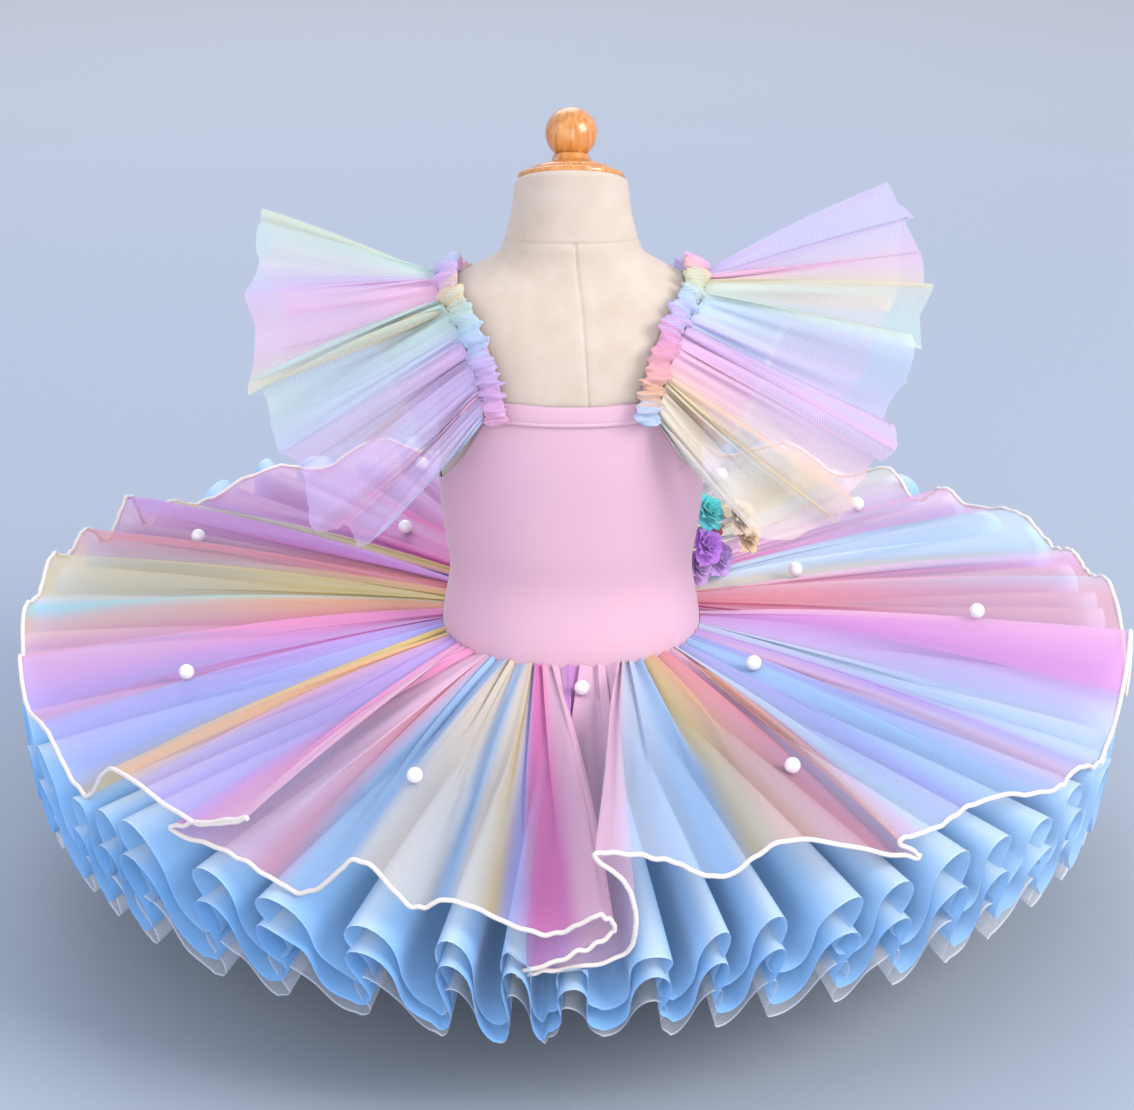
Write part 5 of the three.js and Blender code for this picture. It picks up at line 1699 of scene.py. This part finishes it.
    def lower_layer(self, layer: Layer, top: Sheet) -> Sheet:
        """One lower layer, in organ folds that open towards its free edge, pressed below the top one."""
        cut = LAYER_CUTS[layer]
        random = np.random.default_rng(51)
        width = random.uniform(0.6, 1.5, self.fold_count)
        width *= 360 / width.sum()
        deep = random.uniform(0.66, 1.22, self.fold_count)
        start = np.cumsum(width) - width - 180
        across, height = meander(cut.swing, self.fold_steps)
        middle = start + width / 2
        lean = 0.42 * np.tanh(middle / 14) * np.clip((150 - np.abs(middle)) / 60, 0, 1)
        lean += random.uniform(-0.14, 0.14, self.fold_count)
        angle = (start[:, None] + width[:, None] * (across + lean[:, None] * height)).ravel()
        even = (start[:, None] + width[:, None] * np.arange(self.fold_steps) / self.fold_steps).ravel()
        rise = (deep[:, None] * (height - self.fold_level)).ravel() * cut.depth
        name = layer.name.lower()
        droop = LOWER_DROOPS.read(even)[name]
        nearness = cos_deg(even) ** 2
        reach = cut.side_reach + (cut.back_reach - cut.side_reach) * nearness
        out = np.linspace(0, 1, self.lower_rows) ** 0.9
        points = self.spread(even, angle, droop, reach, out, layer.value)
        tilt = 0.55 * droop
        outward = sin_deg(tilt)
        up = np.stack([outward * sin_deg(angle), -outward * cos_deg(angle), cos_deg(tilt)], axis=-1)
        opened = out[None, :] ** 1.15
        share = (even + 180) / 360
        pleat = np.sin(2 * math.pi * (3 * self.fold_count * share + 0.7 * soft_noise(share, 30, 53)))
        fine = 1.1 * pleat[:, None] * (1 - out)[None, :] * out[None, :] ** 0.4
        wobble = 1.8 * soft_noise(share, 170, 55 + layer.value)[:, None] * opened**2
        points = points + up[:, None, :] * (rise[:, None] * opened + fine + wobble)[..., None]
        points = self.press(points, top.points, 1.5 + 2 * layer.value)
        walked = line_length(points[:, -1], True)
        # Painted highlight and painted light: the fold crests are painted paler, the whole layer a little
        # paler towards its free edge, and the right side, where the key light falls, paler still.
        painted_highlight = (np.tile(height, self.fold_count) ** self.crest_power)[:, None, None] * opened[..., None]
        painted_key_light = np.exp(-(((even - 75) / 50) ** 2))[:, None, None] * 0.5
        painted_highlight = np.clip(painted_highlight + (0.04 + painted_key_light) * opened[..., None] ** 2, 0, 1)
        dyes = np.array(srgb(cut.colour)[:3]) * (1 - painted_highlight) + np.array(srgb(cut.highlight_colour)[:3]) * painted_highlight
        return Sheet(points, True, share * walked, out * cut.back_reach, dyes, turned=True)

    def hem_cord(self, shop: Workshop, top: Sheet) -> bpy.types.Object:
        """The cord along the top layer's free edge."""
        hem, inner = top.points[:, -1], top.points[:, -3]
        line = hem + unit(hem - inner) * (self.cord_radius + 0.1)
        share = np.arange(len(line)) / len(line)
        line[:, 2] += 0.7 * soft_noise(share, 240, 81)
        piece = shop.cords.make("satin_hem_cord", line_object("hem_line", [line], closed=True), {
            "Radius": self.cord_radius * MM, "Material": shop.cord,
        })
        return shop.finish(piece, "cream_cord", "hem_cord")

    def pearls(self, shop: Workshop, top: Sheet) -> bpy.types.Object:
        """The beads, each sewn to the highest step of the layer near its angle."""
        rows = top.points.shape[1] - 1
        centres = []
        normals = -grid_normals(top.points, True)
        for angle, out in PEARLS:
            row = round(out * rows)
            ring = top.points[:, row]
            turn = np.degrees(np.arctan2(ring[:, 0], -ring[:, 1]))
            height = np.where(np.abs(turn - angle) < self.pearl_search, ring[:, 2], -np.inf)
            best = int(np.argmax(height))
            up = normals[best, row] * math.copysign(1, normals[best, row, 2])
            centres.append(ring[best] + up * (self.pearl_radius + 0.5))
        mesh = bpy.data.meshes.new("bead_spots")
        mesh.from_pydata((np.array(centres) * MM).tolist(), [], [])
        piece = shop.beads.make("sewn_pearls", add_object("bead_spots", mesh), {
            "Radius": self.pearl_radius * MM, "Material": shop.pearl,
        })
        return shop.finish(piece, "pearl", *[f"pearl_{k + 1}" for k in range(len(PEARLS))])

    def build(self, shop: Workshop) -> None:
        """Makes the layers from the top down, then the cord and the beads."""
        top = self.top_layer()
        piece = top.film("rainbow_top_layer", shop.rainbow)
        shop.finish(piece, "rainbow_net", "skirt_top")
        trims = [self.hem_cord(shop, top), self.pearls(shop, top)]
        shop.cloth(piece, top, "gathered", ["bodice_back_panel", "bodice_front_panel"], trims)
        looks = {
            Layer.BLUE_UPPER: ("blue_upper_layer", shop.blue_pale, "blue_net_pale", "skirt_blue_upper"),
            Layer.BLUE_LOWER: ("blue_lower_layer", shop.blue, "blue_net", "skirt_blue_lower"),
            Layer.NET: ("white_net_layer", shop.white, "white_net", "skirt_net"),
        }
        for layer, (name, material, slot, node) in looks.items():
            sheet = self.lower_layer(layer, top)
            piece = sheet.film(name, material)
            shop.finish(piece, slot, node)
            shop.cloth(piece, sheet, "gathered", ["bodice_back_panel", "bodice_front_panel"])


# ------------------------------------------------------------------ the flower spray
@dataclass(frozen=True)
class Bloom:
    """One silk flower: its head's middle, and where its stem is sewn to the bodice."""

    name: str
    head: tuple[float, float, float]
    angle: float
    height: float
    colour: str


BLOOMS = [
    Bloom("teal", (101, 42, 264), 122, 250, "#7CF4F2"),
    Bloom("purple", (100, 28, 243), 116, 236, "#DE9CFF"),
    Bloom("lilac", (94, 34, 223), 118, 222, "#EEC8FF"),
    Bloom("violet", (110, 49, 225), 127, 219, "#E2BEFF"),
    Bloom("peach", (125, 45, 259), 119, 246, "#FFEBD0"),
    Bloom("apricot", (131, 57, 240), 128, 232, "#FFE2BC"),
    Bloom("coral", (105, 66, 250), 133, 240, "#FFAE98"),
]


@dataclass
class FlowerSpray:
    """The spray of silk flowers at the right hip."""

    bodice: Bodice
    petal_length: float = 17.5
    petal_width: float = 17.0
    stem_radius: float = 1.3

    def petal(self, name: str) -> bpy.types.Object:
        """One pressed petal that stands along +Z, cupped, with a ruffled rim."""
        columns, rows = 11, 8
        u = np.linspace(-1, 1, columns)[:, None]
        v = np.linspace(0, 1, rows)[None, :]
        half = self.petal_width / 2 * np.sin(math.pi * (0.1 + 0.78 * v)) ** 0.6
        x = 2.4 * v**1.5 - 2.0 * (u**2) * v + 1.3 * np.sin(5 * u + 1) * v**2
        y = u * half
        z = self.petal_length * (v - 0.1 * (u**2) * v)
        points = np.stack(np.broadcast_arrays(x, y, z), axis=-1)
        across, along = grid_corners(columns, rows, False)
        faces = (across * rows + along).tolist()
        mesh = bpy.data.meshes.new(name)
        mesh.from_pydata((points.reshape(-1, 3) * MM).tolist(), [], faces)
        return add_object(name, mesh)

    def bloom(self, shop: Workshop, flower: Bloom) -> None:
        """One flower: a whorl of petals on a wrapped stem."""
        silk = SilkFinish(f"silk_{flower.name}_petals", flower.colour).build()
        whorl = shop.petals.make(f"petals_{flower.name}", self.petal(f"petal_{flower.name}"), {
            "Count": 20.0, "Open": 1.75, "Upright": 0.2, "Material": silk,
        })
        foot = off_form(flower.angle, flower.height, np.array(self.bodice.outer + 0.96))
        head = np.array(flower.head)
        way = Vector(unit(head - foot))
        facing = Vector(unit(np.array(way) + np.array((0.1, -0.55, 0.5))))
        turn = Vector((0, 0, 1)).rotation_difference(facing).to_matrix().to_4x4()
        whorl.data.transform(turn)
        shift = (head - np.array(facing) * 3) * MM
        for vertex in whorl.data.vertices:
            vertex.co += Vector(shift)
        sides, rings = 10, 8
        share = np.linspace(0, 1, rings)[:, None]
        spin = 2 * math.pi * np.arange(sides) / sides
        side = unit(np.cross(np.array(way), (0.0, 0.0, 1.0)))
        other = np.cross(np.array(way), side)
        radius = self.stem_radius * (0.5 + 0.5 * np.sin(math.pi * (0.1 + 0.55 * share)))
        ring = side * np.cos(spin)[None, :, None] + other * np.sin(spin)[None, :, None]
        ring = ring * radius[..., None]
        axis = foot + (head - foot) * share * 0.94
        vertices = (axis[:, None, :] + ring).reshape(-1, 3) * MM
        mesh = whorl.data
        work = bmesh.new()
        work.from_mesh(mesh)
        added = [work.verts.new(v) for v in vertices]
        work.verts.index_update()
        for face in facing_out(vertices, tube_faces(rings, sides)):
            work.faces.new([added[k] for k in face]).smooth = True
        work.to_mesh(mesh)
        work.free()
        shop.finish(whorl, f"silk_{flower.name}", f"flower_{flower.name}")

    def build(self, shop: Workshop) -> None:
        """Makes all the flowers."""
        for flower in BLOOMS:
            self.bloom(shop, flower)


# ------------------------------------------------------------------ studio
@dataclass
class Studio:
    """The camera, the floor and the soft lights.

    Attributes:
        camera_place: in millimetres.
        camera_tilt: from straight down.
        lens: its focal length, in millimetres.
        sensor: the film's width, in millimetres.
        floor_radius: in millimetres.
        lit_place: the point that the lights face, in metres.
    """

    camera_place: tuple[float, float, float] = (-2.9, -2124.9, 1126.2)
    camera_tilt: float = 67.5
    lens: float = 101.94
    sensor: float = 36.0
    floor_radius: float = 12000
    lit_place: tuple[float, float, float] = (0, 0, 0.25)

    def camera(self) -> None:
        """The camera, behind the wearer and above."""
        data = bpy.data.cameras.new("studio_camera")
        data.lens = self.lens
        data.sensor_width = self.sensor
        data.sensor_fit = "HORIZONTAL"
        data.clip_end = 100
        camera = add_object("studio_camera", data)
        camera.location = Vector(self.camera_place) * MM
        camera.rotation_euler = (math.radians(self.camera_tilt), 0, 0)
        bpy.context.scene.camera = camera

    def floor(self) -> None:
        """A wide pale floor."""
        turn = 2 * math.pi * np.arange(64) / 64
        ring = np.stack([np.cos(turn), np.sin(turn), np.zeros(64)], axis=-1) * self.floor_radius
        plane = mesh_piece("studio_floor", ring, [list(range(64))], FloorFinish().build())

    def light(self, name: str, place: tuple[float, float, float], size: float, power: float,
              colour: tuple[float, float, float]) -> None:
        """A soft square light that faces the dress."""
        data = bpy.data.lights.new(name, "AREA")
        data.shape = "SQUARE"
        data.size = size
        data.energy = power
        data.color = colour
        lamp = add_object(name, data)
        lamp.location = place
        lamp.rotation_euler = (Vector(self.lit_place) - Vector(place)).to_track_quat("-Z", "Y").to_euler()

    def lights(self) -> None:
        """A large key light from the right, a weak fill, a light from behind, and even daylight."""
        self.light("key_light", (2.5, -1.4, 2.1), 1.6, 84, (1.0, 0.97, 0.94))
        self.light("front_light", (-0.2, -3.4, 1.2), 2.4, 41, (1.0, 0.99, 0.98))
        self.light("fill_light", (-2.6, -1.4, 1.8), 2.4, 18, (0.95, 0.97, 1.0))
        self.light("back_light", (-0.4, 2.4, 2.4), 2.2, 34, (0.97, 0.98, 1.0))
        world = bpy.data.worlds.new("daylight")
        world.use_nodes = True
        back = world.node_tree.nodes["Background"]
        back.inputs["Color"].default_value = srgb("#DAE4FB")
        back.inputs["Strength"].default_value = 0.94
        bpy.context.scene.world = world

    def develop(self) -> None:
        """The picture's tone curve, and how often light may pass through sheer cloth."""
        scene = bpy.context.scene
        scene.view_settings.view_transform = "Standard"
        scene.cycles.transparent_max_bounces = 24
        scene.cycles.max_bounces = 4
        scene.cycles.diffuse_bounces = 1
        scene.cycles.glossy_bounces = 1
        scene.cycles.transmission_bounces = 2

    def build(self) -> None:
        """Sets up the floor, the lights and the picture."""
        self.floor()
        self.lights()
        self.develop()


def main() -> None:
    """Builds the dress on its form."""
    logging.basicConfig(level=logging.INFO, format="%(message)s")
    studio = Studio()
    studio.camera()
    shop = Workshop()
    bodice = Bodice()
    DressForm().build(shop)
    bodice.build(shop)
    for hand in Hand:
        Sleeve(hand).build(shop)
    Skirt(bodice).build(shop)
    FlowerSpray(bodice).build(shop)
    studio.build()


if __name__ == "__main__":
    main()
